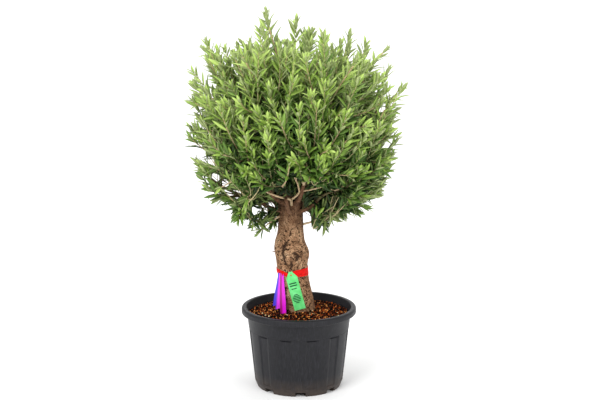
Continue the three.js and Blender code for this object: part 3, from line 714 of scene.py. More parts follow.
# Satin film: saturated, with a soft sheen down its length, and each strip's tones across it; the
# magenta strip's dark crimson side is painted shade on one half of its fold
RIBBON_TONES = {
    "blue": [(0.0, "#3a2fc8"), (0.45, "#4a3cdc"), (0.7, "#3f50e0"), (1.0, "#3a62d8")],
    "violet": [(0.0, "#8a34d4"), (0.2, "#a035da"), (0.27, "#e93cf2"), (0.75, "#f246f0"),
               (1.0, "#cf2ad8")],
    # the dark crimson stops are painted shade on one half of the fold
    "magenta": [(0.0, "#a8127e"), (0.32, "#9a1072"), (0.4, "#dc12d0"), (1.0, "#ee1ee2")],
}
ribbon_side = (knot_side + Vector((1, 0, 0))).normalized()  # the strips turn a little to the front


def ribbon_place(off, set_off, drift, bottom, gather, slant, across, along):
    """A point of a ribbon: across runs from -0.5 to 0.5 and along from the knot to the cut end."""
    top = Vector(bark_point(TAPE_HEIGHT - 2, knot_bearing, off)) + ribbon_side * set_off
    width = RIBBON_WIDTH * (gather + (1 - gather) * smooth_step(0, 0.8, along))
    end = bottom + slant * (across + 0.5)
    sway = 1.6 * math.sin(3.2 * along + drift)
    fold = 1.5 * math.sin(across * math.pi * 2 + drift) * (0.4 + 0.6 * (1 - along))
    p = top + ribbon_side * (drift * along ** 1.1 + across * width + sway * 0.6)
    p += knot_out * (fold + sway * 0.4)
    return Vector((p.x, p.y, top.z + (end - top.z) * along))


for name, *shape in RIBBONS:
    satin, tree, shader, place = new_material(f"{name}_satin_film", RIBBON_TONES[name][1][1], 0.34)
    strip_place = add_node(tree, "ShaderNodeUVMap", uv_map="strip")
    across = add_node(tree, "ShaderNodeSeparateXYZ", {"Vector": strip_place}).outputs["X"]
    drawn_out = add_node(tree, "ShaderNodeMapping", {"Vector": strip_place, "Scale": (9, 1.6, 1)})
    ripples = add_node(
        tree, "ShaderNodeTexNoise", {"Vector": drawn_out, "Scale": 1.0, "Detail": 3.0}
    )
    wandering = add_node(
        tree, "ShaderNodeMath", {0: ripples, 1: 0.16, 2: across}, operation="MULTIPLY_ADD"
    )
    centred = add_node(tree, "ShaderNodeMath", {0: wandering, 1: 0.08}, operation="SUBTRACT")
    add_node(
        tree, "ShaderNodeValToRGB", {"Fac": centred}, stops=RIBBON_TONES[name],
        into=shader["Base Color"],
    )
    add_node(
        tree, "ShaderNodeBump", {"Height": ripples, "Strength": 0.35, "Distance": 0.0015},
        into=shader["Normal"],
    )
    strip = bmesh.new()
    bmesh.ops.create_grid(strip, x_segments=RIBBON_STEPS[0], y_segments=RIBBON_STEPS[1], size=0.5)
    uv_layer = strip.loops.layers.uv.new("strip")
    for strip_face in strip.faces:
        for loop in strip_face.loops:
            loop[uv_layer].uv = (loop.vert.co.x + 0.5, loop.vert.co.y + 0.5)
    for v in strip.verts:
        v.co = ribbon_place(*shape, v.co.x, 0.5 - v.co.y) * MM
    bmesh.ops.solidify(strip, geom=strip.faces, thickness=RIBBON_THICKNESS * MM)
    ribbon = f"ribbon_{name}"
    add_piece(f"{ribbon}_hanging", strip, [satin], ribbon, ribbon, sharp_angle=50)

# The plant tag
# A loop-lock plant tag punched from bright green polypropylene sheet, with cut shoulders and a
# hole for the tape. Its face carries plain ruled lines.
TAG_WIDTH = 43
TAG_TOP_WIDTH = 12
TAG_SHOULDER = 23
TAG_LENGTH = 149
TAG_THICKNESS = 0.9
TAG_HOLE = 3
TAG_HOLE_DROP = 13
TAG_LEAN = 15
TAG_TILT = 5
TAG_LINES = [  # how far down each line lies, its length and its thickness
    (-45, 28, 4.4), (-54, 28, 4.4), (-66, 21, 3.0), (-90, 15, 3.4), (-96, 25, 3.4), (-102, 30, 3.4),
    (-108, 30, 3.4), (-114, 25, 3.4), (-120, 14, 3.4),
]

# Polypropylene sheet: an even spring green, slightly mottled, with a faint eggshell gloss
tag_sheet, tree, shader, place = new_material("green_polypropylene_sheet", "#5fe07a", 0.55, 0.3)
mottle = add_node(tree, "ShaderNodeTexNoise", {"Vector": place, "Scale": 60.0, "Detail": 4.0})
add_node(
    tree, "ShaderNodeValToRGB", {"Fac": mottle},
    stops=[(0.35, "#56c66a"), (0.55, "#66d27a"), (0.75, "#7add8c")], into=shader["Base Color"],
)
add_node(
    tree, "ShaderNodeBump", {"Height": mottle, "Strength": 0.15, "Distance": 0.001},
    into=shader["Normal"],
)
# Printing ink: dark green, a hair thick and matt
tag_ink, tree, shader, place = new_material("printed_ink", "#14452b", 0.7, 0.2)
ink_cover = add_node(tree, "ShaderNodeTexNoise", {"Vector": place, "Scale": 900.0, "Detail": 2.0})
add_node(
    tree, "ShaderNodeValToRGB", {"Fac": ink_cover}, stops=[(0.35, "#0f3a24"), (0.7, "#1f5a38")],
    into=shader["Base Color"],
)

TAG_PLACE = Vector((-33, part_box("plant_tag")[1].y / MM - 0.2, 457))


def place_tag(bm):
    """Leans a flat tag that hangs from the origin, and moves it to where it hangs on the tape."""
    point_at(bm, bm.verts, (0, 0, -1), (math.tan(math.radians(TAG_LEAN)), 0, -1))
    point_at(bm, bm.verts, (0, 0, -1), (0, -math.tan(math.radians(TAG_TILT)), -1))
    bmesh.ops.translate(bm, verts=bm.verts, vec=TAG_PLACE * MM)


def bow(z):
    """How far the tag's sheet bows towards the viewer at a distance down from its top."""
    return -2.0 * math.sin(math.pi * min(1, -z / TAG_LENGTH))


plate = bmesh.new()
hole_turns = [math.tau * i / 16 for i in range(16)]
hole = [(TAG_HOLE * math.cos(a), TAG_HOLE * math.sin(a) - TAG_HOLE_DROP) for a in hole_turns]
half = TAG_WIDTH / 2
outline = [
    (-TAG_TOP_WIDTH / 2, 0), (TAG_TOP_WIDTH / 2, 0), (half, -TAG_SHOULDER), (half, -TAG_LENGTH),
    (-half, -TAG_LENGTH), (-half, -TAG_SHOULDER),
]
loops = []
for ring in (outline, hole):
    verts = [plate.verts.new((x * MM, 0, z * MM)) for x, z in ring]
    loops += [plate.edges.new((a, b)) for a, b in zip(verts, verts[1:] + verts[:1])]
bmesh.ops.triangle_fill(plate, use_beauty=True, edges=loops)
for i in range(1, 24):
    everything = plate.verts[:] + plate.edges[:] + plate.faces[:]
    cut_at = (0, 0, -TAG_LENGTH * MM * i / 24)
    bmesh.ops.bisect_plane(plate, geom=everything, plane_co=cut_at, plane_no=(0, 0, 1))
for v in plate.verts:
    v.co.y = bow(v.co.z / MM) * MM
bmesh.ops.recalc_face_normals(plate, faces=plate.faces)
bmesh.ops.solidify(plate, geom=plate.faces, thickness=TAG_THICKNESS * MM)
place_tag(plate)
add_piece("green_tag", plate, [tag_sheet], "tag_plastic", "plant_tag", sharp_angle=40)

lines = bmesh.new()
for z, width, thickness in TAG_LINES:
    rule = bmesh.ops.create_cube(lines, size=1)["verts"]
    bmesh.ops.scale(lines, verts=rule, vec=(width * MM, 0.3 * MM, thickness * MM))
    bmesh.ops.translate(lines, verts=rule, vec=(-1.5 * MM, (bow(z) - 0.3) * MM, z * MM))
place_tag(lines)
add_piece("tag_ruled_lines", lines, [tag_ink], "tag_plastic", "plant_tag")

# The crown's limbs
# A ring of thin boughs springs from the healed head below the cut in three tiers, with a leader
# in the middle. Each bough runs on as the stem of its own mass of shoots, and the twigs branch
# from that stem.
CROWN_CENTRE = (-14, 0, 1000)
CROWN_RADIUS = 384
CROWN_UP = 318
CROWN_DOWN = 372
CROWN_SHOULDER = 3
CROWN_BELLY = 2.4
CROWN_CLEAR_BEARING = -90  # where the underside is highest and the trunk's head shows
HUB = np.array((-28.0, 0.0, 715.0))
BOUGH_ROOT = 18
BOUGH_SAG = 22  # the boughs set out this much lower than they end, in degrees
LEAD_LEAF = 88  # the stems and twigs stop short of a mass's reach by a share of this length
# Each tier's masses: how far each leads out of the crown's body, the first one's bearing, their rise,
# how far the boughs reach, at what height they leave the trunk, their radius, and the seeds
TIERS = [
    dict(name="leader", leads=[112], bearing=182, rise=82, reach=190, leave=742, radius=10, seed=11,
         growths=[1100]),
    dict(name="top", leads=[66, 60, 78, 44, 58], bearing=18, rise=60, reach=185, leave=735, radius=10,
         seed=23, growths=[2340, 2301, 2302, 2313, 2304]),
    dict(name="middle", leads=[6, 20, 24, 16, 18, 20], bearing=-12, rise=31, reach=165, leave=712,
         radius=10.5, seed=37, growths=[3740, 3711, 3722, 3713, 3704, 3715]),
    dict(name="low", leads=[4, 10, 6, 12, 8, 6], bearing=20, rise=2, clear_rise=13, reach=125,
         leave=684, radius=9.5, seed=53, growths=[5341, 5301, 5312, 5303, 5424, 5315]),
]
CELL_REACH = 25  # a twig's leaves reach this far beyond its end
CELL_MARGIN = 3
TWIG_COUNT = 10
TWIG_CONE = 33
TWIG_LEADS = (-16, 36)
TWIG_ROOTS = (0.24, 0.7)
TWIG_BEND = 0.16
STEM_RADII = (6.2, 2.2)
TWIG_RADII = (3.4, 1.5)
STEM_LEAF_DRAWS = 12  # draws that the solids' own leaves take before the twigs
GOLDEN_TURN = math.pi * (3 - math.sqrt(5))
UP = np.array((0.0, 0.0, 1.0))


def seeded(seed):
    """Random numbers from 0 to 1 that are the same on every run, in 32-bit whole numbers."""
    state = [seed]
    whole = 0xFFFFFFFF

    def draw():
        """The next number."""
        state[0] = (state[0] + 0x6D2B79F5) & whole
        t = state[0]
        t = ((t ^ (t >> 15)) * (t | 1)) & whole
        t ^= (t + (((t ^ (t >> 7)) * (t | 61)) & whole)) & whole
        return (t ^ (t >> 14)) / 4294967296

    return draw


def unit(v):
    """A vector's direction."""
    return v / np.linalg.norm(v)


def bearing_vector(bearing, rise):
    """The direction with a bearing and a rise in degrees."""
    a, e = math.radians(bearing), math.radians(rise)
    return np.array((math.cos(a) * math.cos(e), math.sin(a) * math.cos(e), math.sin(e)))


def outline_share(p):
    """1 on the outline of the crown's body, less inside it and more outside."""
    upper = p[2] > CROWN_CENTRE[2]
    power = CROWN_SHOULDER if upper else CROWN_BELLY
    across = math.hypot(p[0] - CROWN_CENTRE[0], p[1]) / CROWN_RADIUS
    along = abs(p[2] - CROWN_CENTRE[2]) / (CROWN_UP if upper else CROWN_DOWN)
    return (across ** power + along ** power) ** (1 / power)


def distance_out(start, direction):
    """How far a straight line from a point runs until it leaves the crown's body."""
    near, far = 0.0, 1200.0
    for _ in range(24):
        middle = (near + far) / 2
        if outline_share(start + direction * middle) < 1:
            near = middle
        else:
            far = middle
    return near


def bezier(curve, t):
    """Points of a curve of three control points at one or several shares of it."""
    t = np.atleast_1d(t)[:, None]
    return (1 - t) ** 2 * curve[0] + 2 * t * (1 - t) * curve[1] + t ** 2 * curve[2]


def bezier_heading(curve, t):
    """The direction of such a curve at a share of it."""
    return unit((1 - t) * (curve[1] - curve[0]) + t * (curve[2] - curve[1]))


def leaning(heading, spread, turn):
    """A direction that leans away from another by an angle, turned round it by a second angle."""
    across = np.cross(heading, UP)
    across = np.array((1.0, 0, 0)) if np.linalg.norm(across) < 0.05 else unit(across)
    side = across * math.cos(turn) + np.cross(across, heading) * math.sin(turn)
    return heading * math.cos(spread) + side * math.sin(spread)


def lay_out_masses():
    """The masses of leaves, each with its axis from the hub, its bough and its stem."""
    laid_out = []
    for tier in TIERS:
        draw = seeded(tier["seed"])
        count = len(tier["leads"])
        for i, lead in enumerate(tier["leads"]):
            bearing = tier["bearing"] + i * 360 / count + (draw() - 0.5) * 12
            facing = max(0, math.cos(math.radians(bearing - CROWN_CLEAR_BEARING)))
            rise = tier["rise"] + tier.get("clear_rise", 0) * facing ** 2 + (draw() - 0.5) * 6
            axis = bearing_vector(bearing, rise)
            mass = dict(
                name=f"{tier['name']}_{i + 1}" if count > 1 else tier["name"], tier=tier,
                axis=axis, target=HUB + axis * (distance_out(HUB, axis) + lead),
                seed=tier["growths"][i],
            )
            x, y, _ = trunk_at(tier["leave"])
            start = np.array((x, y, tier["leave"]), float)
            if tier["rise"] < 80:
                start = start + bearing_vector(bearing, 0) * BOUGH_ROOT
            end = HUB + axis * tier["reach"]
            flat = bearing_vector(bearing, max(0, tier["rise"] - BOUGH_SAG))
            bend = start + flat * np.linalg.norm(end - start) / 2
            mass["bough"] = (start, bend, end)
            reach = np.linalg.norm(mass["target"] - end)
            stem_end = mass["target"] + (end - mass["target"]) * 0.22 * LEAD_LEAF / reach
            mass["stem"] = (end, end + bezier_heading(mass["bough"], 1) * reach * 0.4, stem_end)
            mass["tubes"], mass["leaves"] = [], []
            laid_out.append(mass)
    return laid_out


def shoot(root, end, bend):
    """A shoot from a root to an end, which sets out low and then turns up to the light."""
    way = end - root
    low = np.array((way[0], way[1], 0)) * bend
    low[2] = -bend * math.hypot(way[0], way[1])
    return root, (root + end) / 2 + low, end


def in_cell(mass, p, margin):
    """True where a point lies in a mass's own share of the crown."""
    out = p - HUB
    for other in masses:
        away = mass["axis"] - other["axis"]
        if other is not mass and out @ away <= margin * np.linalg.norm(away):
            return False
    return True


def twigs_of(mass):
    """Twigs spread from the stem to ends that lie evenly over the mass's outer side."""
    draw = seeded(mass["seed"])
    for _ in range(STEM_LEAF_DRAWS):
        draw()
    twigs = []
    for k in range(TWIG_COUNT):
        share = math.sqrt((k + 1) / TWIG_COUNT)
        turn = k * GOLDEN_TURN + draw() * 0.6
        lead = TWIG_LEADS[0] + (TWIG_LEADS[1] - TWIG_LEADS[0]) * draw()
        for _ in range(6):
            way = leaning(mass["axis"], math.radians(TWIG_CONE) * share, turn)
            end = HUB + way * (distance_out(HUB, way) + lead - LEAD_LEAF * 0.3)
            root = bezier(mass["stem"], TWIG_ROOTS[1] + (TWIG_ROOTS[0] - TWIG_ROOTS[1]) * share)[0]
            if in_cell(mass, end + way * CELL_REACH, CELL_MARGIN):
                twigs.append(shoot(root, end, TWIG_BEND))
                break
            share *= 0.84
    return twigs


def tube(points, radii, sides):
    """A closed tapering tube along points: its vertices and triangles."""
    points = np.asarray(points)
    ways = np.gradient(points, axis=0)
    ways /= np.linalg.norm(ways, axis=1)[:, None]
    across = [UP if abs(ways[0][2]) < 0.8 else np.array((1.0, 0, 0))]
    for way in ways:
        across.append(unit(across[-1] - way * (across[-1] @ way)))
    across = np.array(across[1:])
    third = np.cross(ways, across)
    turns = np.arange(sides) * math.tau / sides
    ring = np.cos(turns)[None, :, None] * across[:, None]
    ring += np.sin(turns)[None, :, None] * third[:, None]
    verts = (points[:, None] + ring * np.asarray(radii)[:, None, None]).reshape(-1, 3)
    verts = np.vstack((verts, points[:1], points[-1:]))
    rows, faces = len(points), []
    for i in range(rows - 1):
        for k in range(sides):
            a, b = i * sides + k, i * sides + (k + 1) % sides
            faces += [(a, b, b + sides), (a, b + sides, a + sides)]
    first, last = rows * sides, rows * sides + 1
    for k in range(sides):
        nxt = (k + 1) % sides
        faces += [(first, nxt, k), (last, (rows - 1) * sides + k, (rows - 1) * sides + nxt)]
    return verts, np.array(faces)


def tube_on(curve, radii, rows, sides, material):
    """A tapering tube on a curve: its vertices, its triangles and the place of its material."""
    shares = np.linspace(0, 1, rows)
    return *tube(bezier(curve, shares), np.linspace(*radii, rows), sides), material


def join_tubes(tubes):
    """Several (vertices, triangles, material) as one set of arrays."""
    offsets = np.cumsum([0] + [len(verts) for verts, _, _ in tubes[:-1]])
    points = np.vstack([verts for verts, _, _ in tubes])
    faces = np.vstack([f + offset for (_, f, _), offset in zip(tubes, offsets)])
    tones = np.concatenate([np.full(len(f), tone) for _, f, tone in tubes])
    return points, faces, tones


# Young shoots are smooth and straw-coloured, older twigs grey-tan like the bark
shoot_bark = new_material("young_shoot_bark", "#c2b487", 0.7, 0.3)[0]
inner_bark = new_material("shaded_shoot_bark", "#5f5539", 0.85, 0.2)[0]
twig_bark, tree, shader, place = new_material("olive_twig_bark", "#a68c6c", 0.8, 0.3)
mottle = add_node(tree, "ShaderNodeTexNoise", {"Vector": place, "Scale": 240.0, "Detail": 4.0})
add_node(
    tree, "ShaderNodeValToRGB", {"Fac": mottle},
    stops=[(0.32, "#a48a68"), (0.55, "#c6ad88"), (0.78, "#dfcba8")], into=shader["Base Color"],
)
twig_materials = [twig_bark, shoot_bark, inner_bark]
OLD_BARK, YOUNG_BARK, SHADED_BARK = range(3)  # their places in that list

masses = lay_out_masses()
limbs = []
for mass in masses:
    shares = np.linspace(0, 1, 22)
    line = bezier(mass["bough"], shares)
    radius = mass["tier"]["radius"]
    lumps = [1 + 0.16 * noise.noise(Vector(p / 11)) for p in line]
    limbs.append((*tube(line, radius * (1 - 0.38 * shares) * lumps, 14), 0))
# The front fork: two pale twigs that spring from the head in front, one of which forks again
FRONT_FORK = [
    [(-27, -36, 712), (-28, -58, 728), (-29, -78, 740), (-66, -112, 754), (-112, -140, 776)],
    [(-29, -78, 740), (-8, -98, 758), (3, -112, 776), (-4, -128, 808), (-20, -150, 846)],
    [(3, -112, 776), (40, -132, 786), (88, -156, 802), (132, -178, 792)],
]
for points, (thick, thin) in zip(FRONT_FORK, ((6.4, 3.2), (4.6, 2.6), (3.4, 2.0))):
    knots = np.array(points, float)
    shares = np.linspace(0, len(knots) - 1, 16)
    line = np.stack([np.interp(shares, range(len(knots)), knots[:, i]) for i in range(3)], 1)
    limbs.append((*tube(line, np.linspace(thick, thin, 16), 8), 1))
limb_mesh = mesh_of("olive_boughs", *join_tubes(limbs), smooth=True)
bough_names = ["bough_" + mass["name"] for mass in masses]
add_mesh("olive_boughs", limb_mesh, [bark, twig_bark], "olive_bark", *bough_names)

# The shoots and leaves
# Fine leafy shoots stand off the twigs all over the crown, in four layers from its outside to
# its shaded inside. Narrow leathery leaves grow in crossed pairs along each: dark green above,
# silvery below, and yellow-green where the shoot is young.
HEART = np.array((-14.0, 0.0, 930.0))
FAN_FOOT = np.array((-26.0, 0.0, 545.0))  # the shoots fan out as if from here
# Each layer's number of shoots, how deep in the crown's body their tips lie, their leafy length, how
# shaded they are, their radii, and the share of them that outgrow the crown's top
SHOOT_LAYERS = [
    (230, (0.87, 1.0), (180, 290), 0.0, (2.3, 1.0), 0.34),
    (330, (0.74, 0.9), (140, 230), 0.24, (1.8, 0.9), 0),
    (330, (0.5, 0.76), (120, 190), 0.5, (1.6, 0.8), 0),
    (170, (0.22, 0.5), (80, 130), 0.62, (1.6, 0.8), 0),
]
PAIR_SPACING = 18
LEAVES_LOST = 0.06
YOUNG_END = 45  # so much of a shoot's end is young, with small leaves that point along it
PAINTED_TOP_LIGHT = (700, 1250)  # painted light: the leaves get lighter from the first height up to the second, as the crown's top is lit from above
LEAF_LENGTH = 62
LEAF_WIDTH = 14
LEAF_THICKNESS = 0.9
LEAF_FOLD = 0.16  # how far the blade's halves fold up from the midrib, as a share of its width
LEAF_TONES = ["#aec868", "#92b14c", "#76973b", "#5b7d2f", "#456625", "#314c1c", "#213713"]
LEAF_BACKS = ["#a2b076", "#76884c"]
LEAF_ROWS = [(0.14, 0.58), (0.42, 1.0), (0.74, 0.72)]  # how far along, and how wide, as shares

# A leaf is a closed thin blade: a base and a tip, and in each row a left and a right edge and a
# midrib above and below. Triangles that the base or the tip would squash are left out.
template = [(0, 0, 0)]
for along, wide in LEAF_ROWS:
    template += [(along, -wide, 0), (along, wide, 0), (along, 0, 1), (along, 0, -1)]
template.append((1, 0, 0))
LEAF_TEMPLATE = np.array(template, float)
rings = [[0] * 4, *[range(i, i + 4) for i in range(1, len(template) - 1, 4)], [len(template) - 1] * 4]
upper_faces, lower_faces = [], []
for (left, right, top, bottom), (left_on, right_on, top_on, bottom_on) in zip(rings, rings[1:]):
    upper_faces += [(left, top, top_on), (left, top_on, left_on)]
    upper_faces += [(top, right, right_on), (top, right_on, top_on)]
    lower_faces += [(bottom, left, left_on), (bottom, left_on, bottom_on)]
    lower_faces += [(right, bottom, bottom_on), (right, bottom_on, right_on)]
LEAF_FACES = np.array([face for face in upper_faces + lower_faces if len(set(face)) == 3])

leaf_draw = np.random.default_rng(20)


def leaves_on(curve, leafy, shade, leaves, hangs=False):
    """Leaf pairs along the end of a shoot. A leaf is (root, way, across, length, width, droop,
    tone, whether it may hang in a clearing)."""
    shares = np.linspace(0, 1, 25)
    steps = np.linalg.norm(np.diff(bezier(curve, shares), axis=0), axis=1)
    run = np.concatenate(([0], np.cumsum(steps)))
    leafy = min(leafy, run[-1] * 0.92)
    turn = leaf_draw.random() * math.tau
    shoot_tone = leaf_draw.normal() * 0.075
    back = 2.0
    while back < leafy:
        share = float(np.interp(run[-1] - back, run, shares))
        root = bezier(curve, share)[0]
        along = bezier_heading(curve, share)
        young = max(0, 1 - back / YOUNG_END)
        for side in (0, math.pi):
            if leaf_draw.random() < LEAVES_LOST:
                continue
            spread = math.radians(17 * young + 36 * (1 - young) + 14 * smooth_step(80, 200, back))
            spread += leaf_draw.normal() * 0.13
            way = leaning(along, spread, turn + side + leaf_draw.normal() * 0.2)
            face = unit(along - way * math.cos(spread)) * 0.6 + UP * 0.5 + unit(root - HEART) * 0.6
            face = face + leaf_draw.normal(size=3) * 0.3
            length = LEAF_LENGTH * (1 - 0.42 * young) * leaf_draw.uniform(0.82, 1.16)
            width = LEAF_WIDTH * (0.74 + 0.26 * length / LEAF_LENGTH) * leaf_draw.uniform(0.86, 1.12)
            droop = leaf_draw.uniform(0.02, 0.16)
            tone = shade + 0.17 + 0.34 * min(1, back / 150) - 0.2 * young + shoot_tone
            # Painted light: leaves higher up take lighter tones
            tone += leaf_draw.normal() * 0.06 + 0.24 - 0.39 * smooth_step(*PAINTED_TOP_LIGHT, root[2])
            leaves.append((root, way, unit(np.cross(way, face)), length, width, droop, tone, hangs))
        turn += math.pi / 2 + leaf_draw.normal() * 0.15
        back += PAIR_SPACING * (0.62 + 0.38 * min(1, back / 40)) * leaf_draw.uniform(0.9, 1.1)


# Small gaps through which the sky shows from the front: place across and height on the tree's own
# plane, and half width
SKY_GAPS = [
    (-312, 808, 13), (-278, 788, 12), (-260, 747, 11), (-230, 747, 11), (-103, 706, 10),
    (-133, 706, 8), (-167, 685, 10), (-124, 684, 9), (-328, 869, 11), (-367, 903, 14),
    (350, 1134, 12), (309, 1066, 9), (330, 933, 9),
]
VIEW_DISTANCE, VIEW_HEIGHT = 4500.0, 1565.0  # where the gaps are seen from
CLEARING_SLOPE = 0.183  # the crown's underside rises this much towards the front
HEAD_CLEARING = (42, 722)  # half width and top of the one in front of the trunk's head
FORK_CLEARING = (-8, 150, 796, 0.45, -112)  # middle, half width, top, its fall and its back
SIDE_CLEARING = (12, 40, 676)  # from, to and top of the one beside the trunk
SHADE_TOP = 830  # the crown shades its bark up to this height
TRUNK_VIEW = (85, 700)  # half width and top of what no shoot's tip hangs in front of


def in_clearing(points):
    """True where the crown is open: in front of the trunk's head and of the fork above it, beside
    the trunk on the right, and in the gaps to the sky."""
    x, y, z = np.moveaxis(points, -1, 0)
    height = z + CLEARING_SLOPE * y
    half_width, top = HEAD_CLEARING
    opened = (np.abs(x - HUB[0]) < half_width) & (height < top) & (y < 0)
    middle, half_width, top, fall, back = FORK_CLEARING
    off_middle = np.abs(x - middle)
    opened |= (y < back) & (height < top - fall * off_middle) & (off_middle < half_width)
    left, right, top = SIDE_CLEARING
    opened |= (x > left) & (x < right) & (height < top)
    nearness = VIEW_DISTANCE / (VIEW_DISTANCE + y)
    seen_z = VIEW_HEIGHT + (z - VIEW_HEIGHT) * nearness
    for across, high, half_width in SKY_GAPS:
        opened |= np.hypot(x * nearness - across, seen_z - high) < half_width
    return opened


def runs_into_clearing(curve):
    """True for a shoot with more than one of six points in a clearing."""
    return in_clearing(bezier(curve, np.linspace(0.3, 1, 6))).sum() > 1


def leaf_arrays(leaves):
    """Every leaf's vertices, triangles and materials, without those that the tree has no room for."""
    root, way, across, length, width, droop, tone, hangs = [np.array(c) for c in zip(*leaves)]
    face = np.cross(across, way)
    t, side, lift = LEAF_TEMPLATE.T
    along = t[None] * length[:, None]
    wide = side[None] * width[:, None] / 2
    rise = lift[None] * LEAF_THICKNESS / 2 + np.abs(side)[None] * width[:, None] * LEAF_FOLD
    rise = rise - droop[:, None] * length[:, None] * (t ** 2)[None]
    points = (
        root[:, None] + along[..., None] * way[:, None] + wide[..., None] * across[:, None]
        + rise[..., None] * face[:, None]
    )
    fits = ((points > limit_low) & (points < limit_high)).all((1, 2))
    heights = TRUNK_STATIONS[:, 0]
    x, y, radius = [np.interp(points[..., 2], heights, TRUNK_STATIONS[:, i]) for i in (1, 2, 3)]
    from_axis = np.hypot(points[..., 0] - x, (points[..., 1] - y) / TRUNK_DEPTH_SHARE)
    fits &= ((from_axis > radius + 4) | (points[..., 2] > TRUNK_TOP)).all(1)
    fits &= ~in_clearing(points).any(1) | hangs
    points, tone = points[fits], tone[fits]
    faces = LEAF_FACES[None] + (np.arange(len(points)) * len(LEAF_TEMPLATE))[:, None, None]
    top = np.clip((tone * len(LEAF_TONES)).astype(int), 0, len(LEAF_TONES) - 1)
    # Leaves with darker tops take the darker back: partly age, partly painted shade, as a shaded copy
    # of the silver back
    under = len(LEAF_TONES) + (top > 3)
    tones = np.repeat(np.stack((top, under), 1), len(LEAF_FACES) // 2, 1)
    return points.reshape(-1, 3), faces.reshape(-1, 3), tones.ravel()


# Olive leaves: leathery, with a waxy upper side and a felted silvery back. The greens run from young
# and sunlit to old and shaded.
leaf_materials = [
    new_material(f"olive_leaf_{side}_{i + 1}", tone, roughness, specular)[0]
    for side, tones, roughness, specular in (
        ("upper", LEAF_TONES, 0.48, 0.35), ("silver_back", LEAF_BACKS, 0.75, 0.2)
    )
    for i, tone in enumerate(tones)
]

# No leaf goes further beyond the box of the source's masses than this
BOX_MARGIN = 18
mass_boxes = [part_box("foliage_" + mass["name"]) for mass in masses]
limit_low = np.min([low for low, _ in mass_boxes], axis=0) / MM - BOX_MARGIN
limit_high = np.max([high for _, high in mass_boxes], axis=0) / MM + BOX_MARGIN


def grow(mass, curve, radii, rows, sides, material, leafy, shade, hangs=False):
    """Adds a shoot to a mass: its tube, and the leaves along its end."""
    mass["tubes"].append(tube_on(curve, radii, rows, sides, material))
    leaves_on(curve, leafy, shade, mass["leaves"], hangs)


for mass in masses:
    parents = [(mass["stem"], STEM_RADII, 0.3)]
    parents += [(twig, TWIG_RADII, 0.25) for twig in twigs_of(mass)]
    anchors = []
    for curve, radii, first in parents:
        if in_clearing(bezier(curve, np.linspace(0, 1, 9))).sum() > 2:
            continue
        skin = SHADED_BARK if bezier(curve, 0.5)[0, 2] < SHADE_TOP else OLD_BARK
        grow(mass, curve, radii, 9, 5, skin, 190, 0.0)
        anchors.append(bezier(curve, np.linspace(first, 0.95, 14)))
    mass["anchors"] = np.vstack(anchors)

axes = np.array([mass["axis"] for mass in masses])


def mass_round(p):
    """The mass in whose share of the crown a point lies."""
    return masses[int(np.argmax(axes @ (p - HUB)))]


for count, depths, lengths, shade, radii, tall in SHOOT_LAYERS:
    for k in range(count):
        rise = 1 - 2 * (k + 0.5) / count
        level = math.sqrt(1 - rise * rise)
        bearing = k * GOLDEN_TURN
        outward = np.array((level * math.cos(bearing), level * math.sin(bearing), rise))
        outward = unit(outward + leaf_draw.normal(size=3) * 0.07)
        low_down = smooth_step(-0.1, -0.75, outward[2])
        if leaf_draw.random() < 0.4 * low_down:
            continue
        lumps = 0.05 * noise.noise(Vector(outward * 2.6)) + 0.03 * noise.noise(Vector(outward * 7))
        depth = leaf_draw.uniform(*depths) + lumps - 0.07 * low_down
        if outward[2] > 0.3:
            depth += leaf_draw.uniform(0.07, 0.18) if leaf_draw.random() < tall else -0.05
        tip = HEART + outward * distance_out(HEART, outward) * depth
        tip_height = tip[2] + CLEARING_SLOPE * tip[1]
        if tip[1] < 0 and abs(tip[0] - HUB[0]) < TRUNK_VIEW[0] and tip_height < TRUNK_VIEW[1]:
            continue
        owner = mass_round(tip)
        heading = unit(unit(tip - FAN_FOOT) + UP * 0.12 + leaf_draw.normal(size=3) * 0.13)
        leafy = leaf_draw.uniform(*lengths)
        foot = tip - heading * leafy * 1.15
        nearest = np.argsort(np.linalg.norm(owner["anchors"] - foot, axis=1))[:6]
        root = owner["anchors"][leaf_draw.choice(nearest)]
        curve = (root, tip - heading * leafy * 0.6, tip)
        if runs_into_clearing(curve):
            continue
        shaded = shade > 0.4 or (shade > 0 and tip[2] < SHADE_TOP - 30)
        grow(owner, curve, radii, 8, 4, SHADED_BARK if shaded else YOUNG_BARK, leafy, shade)

# The longest shoots stand out of the skyline where the photograph shows them
SKYLINE_TIPS = [
    (-120, 0, 1421), (-9, 10, 1388), (42, -10, 1352), (-338, 10, 1312), (153, 0, 1304),
    (247, 10, 1303), (331, 0, 1214),
]
for tip in np.array(SKYLINE_TIPS, float):
    heading = unit(unit(tip - FAN_FOOT) + UP * 0.25)
    owner = mass_round(tip)
    foot = tip - heading * 230
    root = owner["anchors"][int(np.argmin(np.linalg.norm(owner["anchors"] - foot, axis=1)))]
    grow(owner, (root, tip - heading * 110, tip), (2.6, 1.1), 8, 5, YOUNG_BARK, 210, -0.04)

# Short leafy shoots stand on the boughs, so that leaves hide them close to the trunk's head
BOUGH_SHOOTS = 28
for mass in masses:
    if mass["tier"]["name"] not in ("low", "middle"):
        continue
    for k in range(BOUGH_SHOOTS):
        root = bezier(mass["bough"], 0.06 + 0.9 * k / (BOUGH_SHOOTS - 1))[0]
        heading = unit(leaning(mass["axis"], 0.9, leaf_draw.random() * math.tau) + UP * 0.2)
        reach = leaf_draw.uniform(50, 100)
        curve = (root, root + heading * reach * 0.5 - UP * 6, root + heading * reach)
        if not runs_into_clearing(curve):
            grow(mass, curve, (1.4, 0.7), 6, 4, SHADED_BARK, reach * 0.85, 0.58)

